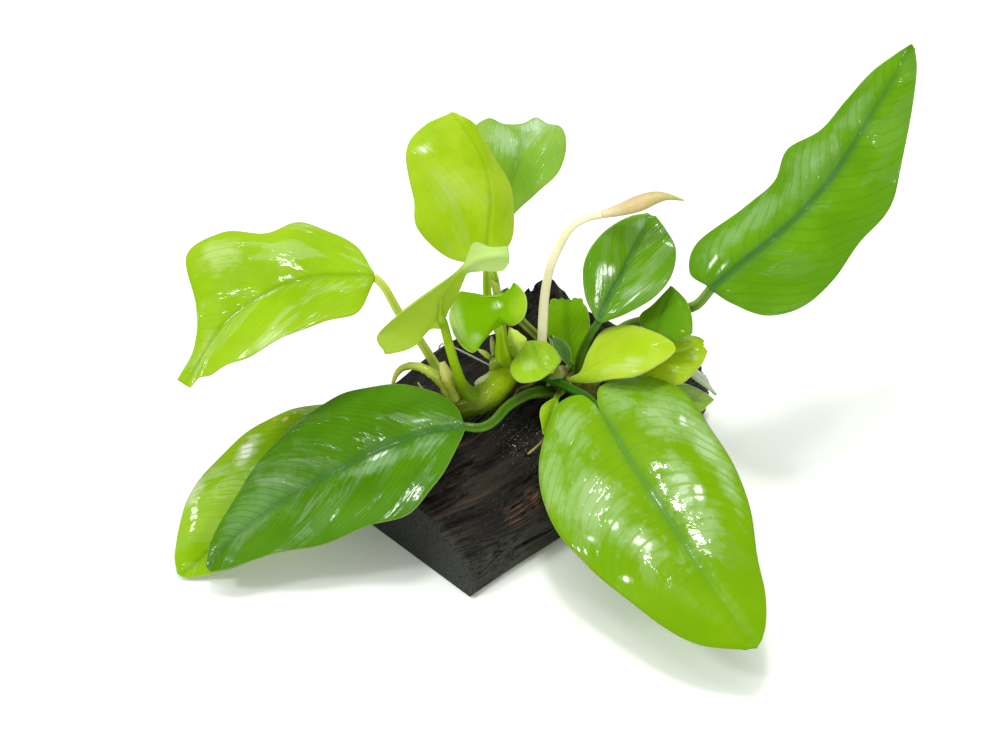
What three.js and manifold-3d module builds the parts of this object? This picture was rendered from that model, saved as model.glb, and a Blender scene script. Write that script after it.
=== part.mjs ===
// Golden anubias nana tied to a chunk of driftwood, in mm. +Z is up, the floor is z = 0 and the
// origin is on the floor near the middle of the wood's sawn-flat underside. -Y faces the viewer.
import * as THREE from "three";
import Module from "manifold-3d";
import { mergeVertices } from "three/addons/utils/BufferGeometryUtils.js";

const wasm = await Module();
wasm.setup();

// Driving sizes, mm
const BLADE_THICKNESS = 0.9;
const BLADE_RIM = 0.45; // thickness left at the edge of a blade
const STALK = 1.7; // across an ordinary leaf stalk
const THICK_STALK = 2.0;
const THIN_STALK = 1.3;
const RHIZOME = 5.2; // across the fresh green end of the creeping stem
const OLD_RHIZOME = 4.4; // across its older brown end
const FLOWER_STALK = 1.8;
const TIE_LINE = 0.4;
const GAP = 0.3; // between pieces that touch

// How the plant was seen: a camera this far from the origin and this far up, looking down.
// A place on the plant is read as picture x, picture y (in a 1000 x 750 picture) and the distance
// from the camera along its line of sight, which settles how far back that place lies.
const CAMERA_X = -5;
const CAMERA_BACK = 274.7;
const CAMERA_HEIGHT = 257.4;
const CAMERA_DOWN = THREE.MathUtils.degToRad(40);
const FOCAL_LENGTH = 1944; // in picture points
const PICTURE_MIDDLE = [500, 375];

const EYE = new THREE.Vector3(CAMERA_X, -CAMERA_BACK, CAMERA_HEIGHT);
const FORWARD = new THREE.Vector3(0, Math.cos(CAMERA_DOWN), -Math.sin(CAMERA_DOWN));
const UPWARD = new THREE.Vector3(0, Math.sin(CAMERA_DOWN), Math.cos(CAMERA_DOWN));

// The place in mm of a picture point at a distance.
function seen([x, y, away]) {
  const right = (x - PICTURE_MIDDLE[0]) / FOCAL_LENGTH;
  const up = (PICTURE_MIDDLE[1] - y) / FOCAL_LENGTH;
  const ray = FORWARD.clone().addScaledVector(UPWARD, up);
  ray.x += right;
  return EYE.clone().addScaledVector(ray, away);
}

// Colours
const GOLDEN = "#a6cf2c";
const PALE_GOLD = "#b9d84a";
const FRESH_GREEN = "#7fb81e";
const DEEP_GREEN = "#4c8f1a";
const BLUE_GREEN = "#6fae3a";
const STEM_GREEN = "#9cc534";
const CREAM = "#e9dcaa";
const PEACH = "#e4c48c";
const SHEATH = "#c9d45c";
const ROOT_BROWN = "#7c6a3e";
const WET_WOOD = "#2c2420";
const CLEAR_LINE = "#dfe5e2";

// A leaf is held by three lines from its base to its tip: the midrib, and the edges on the left
// and right of someone who looks at its upper face with the tip up. The stalk starts at the base.
const LEAVES = {
  leaf_far_left: {
    colour: GOLDEN,
    rib: [
      [374.6, 277, 350], [350, 276, 350], [318, 277, 350.5], [286, 285, 350], [258, 299, 348.5],
      [236, 314, 347], [220, 330, 345.5], [207, 350, 344], [196, 369, 342.5], [184, 384, 341],
    ],
    left: [
      [373, 283, 350], [357, 313, 346], [322, 322, 344.5], [285, 337, 343], [250, 356, 341.5],
      [228, 365, 341], [212, 374, 341], [202, 377, 341], [197, 380, 341], [190, 388, 340.5],
    ],
    right: [
      [373, 271, 350], [357, 247, 353], [325, 229.5, 355], [294, 223, 356], [262, 234, 354],
      [222, 232, 353], [187, 255, 351.5], [196, 305, 348], [194, 348, 345], [177, 380, 342],
    ],
    stalk: [
      [374.6, 277, 350], [385, 288, 350.5], [398, 311, 352.5], [418, 338, 355.5], [434, 363, 360.5],
      [446, 384, 362], [455, 400, 362],
    ],
  },
  leaf_top_front: {
    colour: GOLDEN,
    rib: [
      [485, 262, 349], [487, 248, 349], [489, 228, 349.5], [491, 205, 350], [489, 182, 350],
      [482, 158, 350], [470, 136, 350.5], [460, 121, 351], [452, 113, 352],
    ],
    left: [
      [481, 264, 348.5], [447, 257, 346.5], [417, 228, 346], [413.5, 200, 347], [408.5, 175, 347.5],
      [405.5, 156, 348], [411, 139, 349], [427, 124, 350], [449, 114.5, 351.8],
    ],
    right: [
      [489, 262, 349.5], [508, 246, 352], [514, 225, 354], [512, 192, 355], [502, 169, 354.5],
      [491, 151, 353.5], [482, 136, 352.5], [474, 123, 352], [457, 114, 352.2],
    ],
    stalk: [
      [485, 262, 349], [493, 273, 350.5], [498, 300, 355.5], [501, 325, 358.8], [504, 345, 361.5],
      [507, 364, 364.5],
    ],
  },
  leaf_top_back: {
    colour: BLUE_GREEN,
    rib: [
      [494, 236, 361], [500, 216, 362], [507, 192, 363.5], [515, 168, 365], [522, 146, 366.5],
      [529, 130, 368], [536, 118, 369],
    ],
    left: [
      [490, 236, 361], [480, 215, 362], [473, 188, 364], [471, 158, 366], [472, 130, 367.5],
      [488, 118, 368.5], [503, 124.5, 368.7], [521, 124, 368.8], [533, 118, 369],
    ],
    right: [
      [498, 236, 361], [516, 212, 361], [538, 192, 361.5], [556, 176, 362.3], [565, 155, 364],
      [566, 138, 365.6], [560, 126, 367.4], [548, 123.5, 368.3], [539, 118.5, 369],
    ],
    stalk: [
      [494, 236, 361], [488, 262, 360.5], [487.5, 295, 361], [495, 320, 363], [505, 345, 366],
      [514, 364, 368],
    ],
  },
  leaf_curled: {
    colour: PALE_GOLD,
    rib: [
      [441, 321, 343], [439, 312, 341.5], [439.5, 302, 340], [442, 293, 338.5], [447, 285, 337],
      [455, 276, 335], [464, 268, 332.5], [480, 259, 330], [496, 256, 329], [509, 257, 330],
    ],
    left: [
      [444, 322, 343.5], [448, 313, 344], [452, 305, 344], [455, 298, 343], [459, 290, 341],
      [464, 281, 338], [469, 273, 334.5], [484, 271, 331.5], [502, 271, 330.5], [509.5, 263, 330.2],
    ],
    right: [
      [439, 326, 343], [411, 349, 343.5], [386, 354, 343], [378, 338, 341.5], [404, 311, 339],
      [447, 279, 335], [463, 265, 332], [474, 242.5, 330], [491, 247, 329.5], [508.5, 246, 330],
    ],
    stalk: [[441, 321, 343], [449, 345, 347], [455, 365, 351], [461, 386, 355.5], [471, 400, 359.5]],
    across: THICK_STALK,
  },
  leaf_saddle: {
    colour: FRESH_GREEN,
    rib: [
      [499, 326, 352.5], [499, 317, 351.5], [500, 309, 351.5], [502, 302, 351.2], [506, 296, 351],
      [511, 288, 351], [514, 283, 351],
    ],
    left: [
      [493, 330, 352], [474, 353, 347], [455, 336, 347], [449, 311, 349], [463, 290, 351],
      [500, 297, 351.5], [512, 286, 351.2],
    ],
    right: [
      [505, 325, 352], [514, 327, 350], [524, 315, 349], [527, 302, 349], [523, 291, 350],
      [518, 285, 351], [516, 283, 351.5],
    ],
    stalk: [[499, 326, 352.5], [500, 335, 354.5], [500, 346, 357.5], [499, 368, 362.5]],
  },
  leaf_far_right: {
    colour: DEEP_GREEN,
    rib: [
      [711, 289, 352], [725, 277, 351], [750, 257, 350.5], [779, 234, 350], [806, 208, 349.5],
      [831, 179, 349], [853, 146, 348.5], [872, 114, 348], [892, 82, 347.5], [904, 59, 347],
      [912, 44, 346.5],
    ],
    left: [
      [707, 286, 352], [689.5, 272, 353], [698, 242, 353.5], [745, 207, 353.5], [774, 181, 353],
      [788, 149, 353.5], [822, 129, 352], [846, 100, 351], [873, 71, 349.5], [897, 53, 348],
      [908, 46, 346.8],
    ],
    right: [
      [714, 292, 352], [733, 304, 350], [768, 316, 348], [806, 305, 347], [834, 279, 346.5],
      [862, 240, 346], [889, 210, 345.5], [900, 172, 345.5], [911, 115, 345.5], [917, 72, 346],
      [915, 49, 346.3],
    ],
    stalk: [
      [711, 289, 352], [700, 302, 354.5], [689, 308, 357], [655, 318, 361.5], [625, 327, 364.5],
      [608, 345, 367.5], [600, 368, 369.5], [598, 384, 368],
    ],
  },
  leaf_round: {
    colour: DEEP_GREEN,
    rib: [
      [598, 322, 355], [604, 308, 355], [612, 292, 355.3], [622, 274, 355.6], [632, 254, 356],
      [643, 233, 356.5], [652, 216, 357],
    ],
    left: [
      [594, 316, 355], [585, 296, 354], [583, 268, 353.5], [591, 247, 353.5], [607, 229, 354.5],
      [628, 217, 356], [647, 213, 357],
    ],
    right: [
      [602, 323, 354.5], [628, 313, 353], [655, 297, 352.5], [672, 275, 353], [676, 250, 354],
      [667, 231, 355.5], [656, 216, 356.8],
    ],
    stalk: [[598, 322, 355], [588, 339, 358.5], [580, 360, 362.5], [580, 382, 367]],
  },
  leaf_torn_dark: {
    colour: DEEP_GREEN,
    rib: [
      [652, 338, 356], [655, 328, 356], [659, 317, 356.3], [664, 306, 356.6], [668, 295, 357],
      [671, 287, 357.5],
    ],
    left: [
      [646, 331, 356.5], [639, 320, 357], [643, 311, 357.5], [653, 304, 357.5], [663, 297, 357.5],
      [669, 289, 357.6],
    ],
    right: [
      [664, 340, 355], [684, 338, 354], [692, 328, 353.5], [691, 311, 354.5], [683, 299, 356],
      [673, 287, 357.4],
    ],
    stalk: [[652, 338, 356], [636, 350, 359.5], [614, 368, 363], [590, 386, 365.5]],
    across: THIN_STALK,
  },
  leaf_torn_pale: {
    colour: FRESH_GREEN,
    rib: [
      [640, 368, 360], [655, 363, 359.5], [672, 357, 359.3], [688, 352, 359.3], [700, 349, 359.6],
      [708, 349, 360],
    ],
    left: [
      [640, 362, 360.5], [657, 345, 361], [674, 341, 360.5], [690, 336, 360.5], [704, 339, 360.5],
      [707, 345, 360.3],
    ],
    right: [
      [641, 374, 359.5], [655, 380, 358], [674, 383, 357], [690, 379, 357], [702, 364, 358.5],
      [708, 354, 359.6],
    ],
    stalk: [[640, 368, 360], [624, 379, 362.5], [608, 387, 364.5], [602, 391, 366]],
    across: THIN_STALK,
  },
  leaf_young: {
    colour: GOLDEN,
    rib: [
      [568, 381, 361.5], [584, 373, 358], [602, 363, 355.5], [622, 354, 354], [642, 349, 353],
      [660, 347, 352.7], [675, 348, 352.7],
    ],
    left: [
      [568, 379, 361.7], [581, 371, 358.7], [589, 350, 357], [603, 330, 356.5], [630, 325.5, 355.5],
      [656, 334, 354.3], [672, 343, 353],
    ],
    right: [
      [570, 382.5, 361.2], [592, 383, 357], [612, 379, 353], [633, 377, 351.2], [655, 370, 350.8],
      [668, 361, 351.5], [677, 353, 352.4],
    ],
    stalk: [[568, 381, 361.5], [567, 382, 363.5], [566, 384, 366.5]],
    across: THIN_STALK,
  },
  leaf_back_cut: {
    colour: DEEP_GREEN,
    rib: [
      [572, 366, 369], [569, 350, 369.5], [567, 332, 370], [566, 315, 370.5], [566, 303, 371],
      [566, 297.5, 371.3],
    ],
    left: [
      [569, 365, 369], [551, 345, 370], [546, 325, 370.5], [546, 308, 371], [550, 299, 371.5],
      [556, 297, 371.5],
    ],
    right: [
      [575, 365, 369], [585, 350, 369], [590, 330, 369.5], [588, 311, 370.2], [583, 298, 370.8],
      [577, 297, 371],
    ],
    stalk: [[572, 366, 369], [572, 374, 369.3], [572, 384, 367.5]],
    across: THIN_STALK,
  },
  leaf_folded: {
    colour: DEEP_GREEN,
    rib: [[570, 364, 365.5], [564, 354, 365.8], [557, 345, 366], [550, 336, 366.5]],
    left: [[568, 366, 365.5], [560, 358, 364.8], [552, 348, 365.3], [549, 338, 366.3]],
    right: [[572, 362, 365.5], [570, 349, 366.2], [563, 340, 366.6], [552, 335, 366.7]],
    stalk: [[570, 364, 365.5], [564, 372, 365.5], [556, 380, 367]],
    across: THIN_STALK,
  },
  leaf_cupped: {
    colour: GOLDEN,
    rib: [
      [531, 342, 361], [534, 352, 358.5], [538, 361, 357], [544, 368, 356], [550, 371, 355.5],
      [554, 370, 355.5],
    ],
    left: [
      [535, 341, 361], [547, 343, 359.5], [556, 350, 359], [561, 360, 358.5], [557, 366, 357],
      [556, 368, 355.8],
    ],
    right: [
      [527, 343, 360.8], [516, 356, 357.5], [510, 370, 355.5], [519, 383, 353.8], [538, 381, 353.8],
      [550, 373, 355],
    ],
    stalk: [[531, 342, 361], [528, 346, 363.5], [526, 366, 367]],
    across: THIN_STALK,
  },
  leaf_front_left: {
    colour: DEEP_GREEN,
    rib: [
      [464, 426, 350], [450, 429, 350], [428, 433, 350.5], [400, 442, 351.5], [370, 454, 352.3],
      [338, 470, 352.8], [306, 487, 352.8], [272, 509, 352], [238, 534, 350.8], [217, 557, 349.8],
      [208, 569, 349.5],
    ],
    left: [
      [465, 429, 349.8], [461, 440, 347.5], [450, 461, 345], [434, 486, 344], [408, 514, 344],
      [366, 527, 346], [318, 546, 347], [272, 554, 347.5], [236, 567, 347.5], [220, 571, 348.5],
      [211, 572, 349.2],
    ],
    right: [
      [463, 421, 350.2], [456, 407, 352.5], [437, 393, 355], [405, 385, 357], [369, 387, 358.5],
      [332, 399, 359], [296, 424, 358.3], [262, 457, 356], [232, 503, 353.5], [211, 541, 351.2],
      [206, 565, 349.8],
    ],
    stalk: [
      [464, 426, 350], [481, 427.5, 350.5], [494, 421, 352], [507, 407, 355.5], [526, 395, 360.5],
      [540, 392, 363.5], [551, 391, 366],
    ],
    across: THICK_STALK,
  },
  leaf_low_left: {
    colour: GOLDEN,
    rib: [
      [395, 440, 357], [372, 446, 357.5], [340, 457, 357.5], [305, 474, 357.5], [268, 499, 357],
      [235, 527, 356.2], [208, 553, 355.6], [192, 568, 355.3], [181, 576, 355.3],
    ],
    left: [
      [396, 446, 356.5], [376, 480, 354], [345, 505, 352.8], [308, 525, 352.3], [272, 548, 352],
      [240, 566, 352.6], [215, 573, 354], [199, 576.5, 354.8], [186, 578, 355],
    ],
    right: [
      [393, 434, 357.5], [370, 415, 361.5], [335, 405, 364], [300, 407.5, 364], [258, 425, 362.5],
      [217, 460, 360.5], [187, 500, 358.3], [175, 550, 356.5], [177, 573, 355.6],
    ],
    stalk: [[395, 440, 357], [420, 425, 358], [440, 412, 359.5], [457, 404, 361]],
  },
  leaf_front_right: {
    colour: FRESH_GREEN,
    rib: [
      [599, 410, 352], [606, 421, 351], [615, 435, 349.5], [627, 456, 347], [645, 483, 344],
      [664, 512, 341], [683, 541, 338], [700, 568, 335], [716, 592, 332.5], [733, 616, 330],
      [746, 634, 328.3], [757, 648, 327],
    ],
    left: [
      [597, 403, 353], [600, 387, 355.5], [622, 376.5, 357], [652, 377, 356.5], [684, 392, 355],
      [712, 430, 351], [736, 470, 347], [750, 508, 343], [757, 555, 338], [765, 592, 333.5],
      [766, 622, 330], [762, 640, 327.8],
    ],
    right: [
      [595, 404, 353], [580, 395, 355], [560, 403, 354.5], [546, 431, 351.5], [539, 466, 348],
      [543, 500, 344.5], [557, 531, 341], [583, 562, 338], [620, 594, 334.5], [662, 626, 331],
      [700, 645, 329], [745, 650, 327.3],
    ],
    stalk: [
      [599, 410, 352], [590, 399, 355.4], [576, 391, 358], [561, 384, 360.6], [550, 379, 363],
      [541, 376, 366.5],
    ],
  },
  leaf_low_right: {
    colour: DEEP_GREEN,
    rib: [[664, 392, 363], [677, 394, 363], [690, 398, 363], [702, 402, 363.3], [712, 403, 363.8]],
    left: [
      [664, 386, 364], [680, 381.5, 365.5], [695, 387, 365.5], [706, 394.5, 364.8], [713, 400, 364],
    ],
    right: [[666, 398, 362], [680, 404, 360.5], [692, 410, 360], [702, 412, 361.5], [709, 407, 363.4]],
    stalk: [[664, 392, 363], [640, 395, 364.5], [617, 394, 366], [609, 391, 367]],
    across: THIN_STALK,
  },
  leaf_sliver: {
    colour: PALE_GOLD,
    rib: [[686, 373, 366.5], [697, 379, 367], [708, 387, 367.5], [717, 395, 368]],
    left: [[687, 371.5, 367], [699, 376, 369.5], [711, 384, 369.5], [718, 394, 368.3]],
    right: [[685, 375, 366], [694, 383, 364.5], [705, 390, 365.5], [716, 396, 367.7]],
    stalk: [[686, 373, 366.5], [660, 378, 368], [632, 383, 369], [613, 389, 368]],
    across: THIN_STALK,
  },
  leaf_small_curled: {
    colour: GOLDEN,
    rib: [[556, 399, 358], [553, 408, 356.5], [550, 418, 355.5], [547, 427, 355], [544, 435, 355]],
    left: [[558, 401, 358], [561, 409, 357.5], [557, 419, 356.5], [551, 429, 355.5], [546, 436, 355]],
    right: [[553, 398.5, 358], [543, 405, 356], [540, 414, 355], [541, 424, 354.8], [542.5, 433, 355]],
    stalk: [[556, 399, 358], [557, 396, 361], [562, 390, 365.5]],
    across: THIN_STALK,
  },
};

// Leaf numbers that set how finely each blade is faceted
const PER_STATION = 1.3; // rows of facets between two given points
const LONG_BLADE = 6; // a blade with more given points than this has finer facets
const TIP_HALF_WIDTH = 0.35;
const BASE_HALF_WIDTH = 0.6;
const CUSHION = 0.06; // how far each half bulges above a straight line, as a share of its width

// A smooth line through places read from the picture.
function lineThrough(places) {
  return new THREE.CatmullRomCurve3(places.map(seen), false, "catmullrom", 0.5);
}

// Gives back one closed body from a three.js geometry.
function solid(geometry) {
  geometry.deleteAttribute("normal");
  geometry.deleteAttribute("uv");
  const merged = mergeVertices(geometry, 1e-4);
  const mesh = new wasm.Mesh({
    numProp: 3,
    vertProperties: merged.attributes.position.array,
    triVerts: new Uint32Array(merged.index.array),
  });
  const body = new wasm.Manifold(mesh);
  return body.volume() < 0 ? turnedInsideOut(merged) : body;
}

function turnedInsideOut(merged) {
  const corners = new Uint32Array(merged.index.array);
  for (let i = 0; i < corners.length; i += 3) {
    [corners[i], corners[i + 1]] = [corners[i + 1], corners[i]];
  }
  return new wasm.Manifold(
    new wasm.Mesh({ numProp: 3, vertProperties: merged.attributes.position.array, triVerts: corners }),
  );
}

// A point of a leaf's middle surface: u runs base to tip, v from -1 (left edge) to 1 (right edge).
function bladeSurface(lines, u, v) {
  const rib = lines.rib.getPoint(u);
  const left = lines.left.getPoint(u);
  const right = lines.right.getPoint(u);
  const before = lines.rib.getPoint(Math.max(u - 0.02, 0));
  const ahead = lines.rib.getPoint(Math.min(u + 0.02, 1)).sub(before);
  const facing = right.clone().sub(left).cross(ahead).normalize();
  const edge = v < 0 ? left : right;
  const across = edge.clone().sub(rib);
  const least = THREE.MathUtils.lerp(BASE_HALF_WIDTH, TIP_HALF_WIDTH, u);
  const width = Math.max(across.length(), least);
  across.setLength(width);
  const share = Math.abs(v);
  const bulge = CUSHION * width * 4 * share * (1 - share);
  return { place: rib.addScaledVector(across, share).addScaledVector(facing, bulge), facing };
}

function blade(leaf) {
  const lines = { rib: lineThrough(leaf.rib), left: lineThrough(leaf.left), right: lineThrough(leaf.right) };
  const rows = Math.round((leaf.rib.length - 1) * PER_STATION);
  const facetsEachSide = leaf.rib.length > LONG_BLADE ? 3 : 2;
  const geometry = new THREE.BoxGeometry(2, 1, 1, 2 * facetsEachSide, rows, 1);
  const corners = geometry.attributes.position;
  for (let i = 0; i < corners.count; i++) {
    const v = corners.getX(i);
    const u = corners.getY(i) + 0.5;
    const { place, facing } = bladeSurface(lines, u, v);
    const thickness = THREE.MathUtils.lerp(BLADE_THICKNESS, BLADE_RIM, v * v);
    place.addScaledVector(facing, corners.getZ(i) * thickness);
    corners.setXYZ(i, place.x, place.y, place.z);
  }
  return solid(geometry);
}

// A round rod along a curve, its radius given by a function of the share of the way along it.
function rod(curve, radiusAt, sides, rings) {
  const frames = curve.computeFrenetFrames(rings, false);
  const geometry = new THREE.CylinderGeometry(1, 1, 1, sides, rings);
  const corners = geometry.attributes.position;
  for (let i = 0; i < corners.count; i++) {
    const share = THREE.MathUtils.clamp(corners.getY(i) + 0.5, 0, 1);
    const ring = Math.round(share * rings);
    const radius = radiusAt(share);
    const place = curve.getPointAt(share);
    place.addScaledVector(frames.normals[ring], corners.getX(i) * radius);
    place.addScaledVector(frames.binormals[ring], corners.getZ(i) * radius);
    corners.setXYZ(i, place.x, place.y, place.z);
  }
  return solid(geometry);
}

// The creeping stem: green and thick at the growing left end, then brown and thinner.
const RHIZOME_PLACES = [
  [450, 408, 361], [468, 404, 360], [487, 395, 360.5], [500, 381, 362.5], [510, 370, 365],
  [530, 372, 367], [560, 381, 366.5], [594, 387, 366.5], [617, 391, 367],
];
const RHIZOME_LINE = lineThrough(RHIZOME_PLACES);
const RHIZOME_SIDES = 10;
const RHIZOME_RINGS = 22;

function rhizomeRadius(share, extra) {
  const node = 0.12 * Math.cos(share * 9 * 2 * Math.PI);
  const end = Math.min(1, 0.45 + 6 * Math.min(share, 1 - share));
  return (THREE.MathUtils.lerp(RHIZOME, OLD_RHIZOME, Math.min(1, share * 1.6)) / 2 + node) * end + extra;
}

const rhizome = rod(RHIZOME_LINE, (share) => rhizomeRadius(share, 0), RHIZOME_SIDES, RHIZOME_RINGS);
const rhizomeRoom = rod(RHIZOME_LINE, (share) => rhizomeRadius(share, GAP), RHIZOME_SIDES, RHIZOME_RINGS);

// The largest of the bodies that a cut leaves.
function largest(body) {
  const bodies = body.decompose();
  return bodies.reduce((a, b) => (b.volume() > a.volume() ? b : a));
}

const STALK_SIDES = 5;
const STALK_RING_EVERY = 4; // mm

function leafBody(leaf) {
  const line = lineThrough(leaf.stalk);
  const radius = (leaf.across ?? STALK) / 2;
  const rings = Math.max(2, Math.round(line.getLength() / STALK_RING_EVERY));
  const stalk = rod(line, (share) => radius * (0.85 + 0.25 * share), STALK_SIDES, rings);
  return largest(blade(leaf).add(stalk).subtract(rhizomeRoom));
}

// The driftwood: two plan lines at floor level, x and y in mm from the sawn end to the far end,
// and its height at five places between them from front to back.
const WOOD_FRONT = [[-10.5, -30.5], [-2.5, -23], [6, -15.5], [15, -7], [24, 2], [31, 11], [36, 20]];
const WOOD_BACK = [[-37, -4], [-27, 8], [-16, 19.5], [-6, 23.5], [5, 28], [17, 27], [28, 29]];
const WOOD_HEIGHTS = [
  [7.5, 12.5, 15, 15, 12],
  [8, 14.5, 17, 17, 14.5],
  [8.5, 15.5, 17.5, 17.5, 16],
  [9, 15.5, 17.5, 18, 17.5],
  [9, 15.5, 17, 18.5, 22],
  [9, 14, 16, 17, 18],
  [9, 12, 13, 12, 9],
];
const KNOB = { x: 3, y: 25, reach: 7.5, height: 8 }; // the broken stub at the back
const WOOD_BULGE = 0.9;
const WOOD_FACETS = [15, 8];

function smoothValue(values, share) {
  const last = values.length - 1;
  const at = THREE.MathUtils.clamp(share, 0, 1) * last;
  const i = Math.min(Math.floor(at), last - 1);
  const w = at - i;
  const before = i > 0 ? values[i - 1] : 2 * values[0] - values[1];
  const after = i + 2 <= last ? values[i + 2] : 2 * values[last] - values[last - 1];
  const slopeIn = (values[i + 1] - before) / 2;
  const slopeOut = (after - values[i]) / 2;
  const rise = values[i + 1] - values[i];
  return values[i] + w * slopeIn + w * w * (3 * rise - 2 * slopeIn - slopeOut)
    + w * w * w * (slopeIn + slopeOut - 2 * rise);
}

function woodPlan(along, back) {
  const read = (line, k) => smoothValue(line.map((p) => p[k]), along);
  const x = THREE.MathUtils.lerp(read(WOOD_FRONT, 0), read(WOOD_BACK, 0), back);
  const y = THREE.MathUtils.lerp(read(WOOD_FRONT, 1), read(WOOD_BACK, 1), back);
  return [x, y];
}

// Low ridges of the grain, which runs along the wood.
function grain(along, back) {
  return 0.45 * Math.sin(back * 31 + 2.5 * Math.sin(along * 5)) * Math.sin(along * 9 + 1 + back * 4);
}

function woodHeight(along, back) {
  const [x, y] = woodPlan(along, back);
  const column = WOOD_HEIGHTS.map((heights) => smoothValue(heights, back));
  const fromKnob = Math.hypot(x - KNOB.x, y - KNOB.y) / KNOB.reach;
  const knob = fromKnob < 1 ? KNOB.height * (1 - fromKnob * fromKnob) ** 1.5 : 0;
  return smoothValue(column, along) + knob + grain(along, back);
}

function woodSolid() {
  const geometry = new THREE.BoxGeometry(1, 1, 1, WOOD_FACETS[0], WOOD_FACETS[1], 2);
  const corners = geometry.attributes.position;
  for (let i = 0; i < corners.count; i++) {
    const along = corners.getX(i) + 0.5;
    const back = corners.getY(i) + 0.5;
    const up = corners.getZ(i) + 0.5;
    const [x, y] = woodPlan(along, back);
    const outward = WOOD_BULGE * 4 * up * (1 - up);
    const [midX, midY] = woodPlan(along, 0.5);
    const atSide = Math.abs(back - 0.5) > 0.49 ? outward / Math.hypot(x - midX, y - midY) : 0;
    corners.setXYZ(i, x + (x - midX) * atSide, y + (y - midY) * atSide, up * woodHeight(along, back));
  }
  return solid(geometry);
}

// The clear line that ties the rhizome down: over the top behind the stem's neck, down the back of
// the wood at both sides and through a shallow groove across the underside. x, y and z in mm.
const TIE_PLACES = [
  [-15.6, 19.6, 17.6], [-11, 16.2, 18.2], [-6.2, 12.4, 18.5], [-3.4, 11.6, 18.8], [-1.5, 14, 19],
  [0.2, 22, 19.2], [0.6, 26.6, 19], [0.8, 28.3, 17], [0.8, 28.6, 9], [0.6, 26.8, 0.8],
  [-0.5, 24.5, 0.45], [-8, 19.5, 0.45], [-14.5, 16.5, 0.45], [-16.6, 18.8, 0.9], [-17.4, 20.2, 8],
  [-16.9, 20.3, 15.5],
];
const TIE_LINE_PATH = new THREE.CatmullRomCurve3(
  TIE_PLACES.map(([x, y, z]) => new THREE.Vector3(x, y, z)), true, "catmullrom", 0.5,
);
const TIE_STEPS = 52;
const TIE_SIDES = 4;

function tieLine(radius) {
  return solid(new THREE.TubeGeometry(TIE_LINE_PATH, TIE_STEPS, radius, TIE_SIDES, true));
}

// The flower: a cream stalk and the closed spathe round the spadix, peach with a green tip.
const FLOWER_STALK_PLACES = [
  [602.5, 214.5, 352], [587, 218, 353], [571, 228, 354.5], [559, 247, 356], [549, 272, 358],
  [544, 303, 361], [542, 341, 364], [540, 370, 366.5],
];
const SPATHE_PLACES = [
  [604, 214.3, 351.8], [620, 210, 351], [638, 204, 350.3], [655, 198, 349.5], [668, 196.8, 349],
  [684, 200.3, 348.5],
];
const SPATHE_RADII = [0.95, 1.15, 1.5, 1.2, 0.65, 0.15];

// Thin sheaths that the stalks grew out of: their middle line and their half widths in mm.
const SHEATHS = {
  sheath_arched: {
    places: [
      [456, 403, 360.5], [449, 391, 359], [441, 381, 358], [432, 373.5, 357.5], [421, 367.5, 358],
      [411, 366, 359], [402, 368.5, 360], [396, 375, 360.5], [392.5, 385, 361],
    ],
    halfWidths: [1.2, 1.2, 1, 0.9, 0.8, 0.7, 0.6, 0.45, 0.3],
    colour: SHEATH,
  },
  sheath_torn: {
    places: [[458, 402, 358.5], [452, 388, 357], [447, 376, 356], [442.5, 362, 355.5]],
    halfWidths: [1, 1.1, 1.1, 0.5],
    colour: SHEATH,
  },
  sheath_brown: {
    places: [[519, 358, 364], [517, 346, 362.5], [513, 336, 361.5], [508.5, 326, 361]],
    halfWidths: [1, 1.2, 0.9, 0.3],
    colour: ROOT_BROWN,
  },
  sheath_pointed: {
    places: [[497, 294, 352.3], [494.5, 286, 350.8], [490, 278.5, 349]],
    halfWidths: [0.6, 0.6, 0.3],
    colour: SHEATH,
  },
};
const SHEATH_THICKNESS = 0.5;

// A thin band that faces the viewer along a line.
function band({ places, halfWidths }) {
  const line = lineThrough(places);
  const rows = (places.length - 1) * 2;
  const geometry = new THREE.BoxGeometry(2, 1, 1, 2, rows, 1);
  const corners = geometry.attributes.position;
  for (let i = 0; i < corners.count; i++) {
    const along = corners.getY(i) + 0.5;
    const middle = line.getPoint(along);
    const facing = EYE.clone().sub(middle).normalize();
    const ahead = line.getTangent(THREE.MathUtils.clamp(along, 0.01, 0.99));
    const side = ahead.clone().cross(facing).normalize();
    const outward = side.clone().cross(ahead).normalize();
    const v = corners.getX(i);
    const hollow = 0.5 * v * v * smoothValue(halfWidths, along);
    middle.addScaledVector(side, v * smoothValue(halfWidths, along));
    middle.addScaledVector(outward, corners.getZ(i) * SHEATH_THICKNESS - hollow);
    corners.setXYZ(i, middle.x, middle.y, middle.z);
  }
  return largest(solid(geometry).subtract(rhizomeRoom));
}

// The channelled stalk of an older leaf that is gone, behind the flower stalk.
const OLD_STALK_PLACES = [
  [504, 289, 363.5], [519, 317.5, 365.5], [536, 335, 367], [547, 348, 367.4], [553, 360, 368],
  [556, 371, 367.5],
];
const OLD_STALK = 1.8;

// Roots that creep from the rhizome on to the wood.
const ROOTS = {
  root_loop: [[535, 378, 366.5], [530, 385, 364.3], [519, 389, 364], [512, 400, 365.8]],
  root_forked: [[574, 392, 366.5], [560, 416, 361.8], [543, 440, 359.7], [528, 454, 359.5]],
  root_left: [[461, 411, 361.5], [442, 410, 364], [428, 397, 367], [418, 383, 367.3]],
};
const ROOT = 0.9;

const group = new THREE.Group();
group.name = "golden_anubias_nana_on_driftwood";

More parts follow.
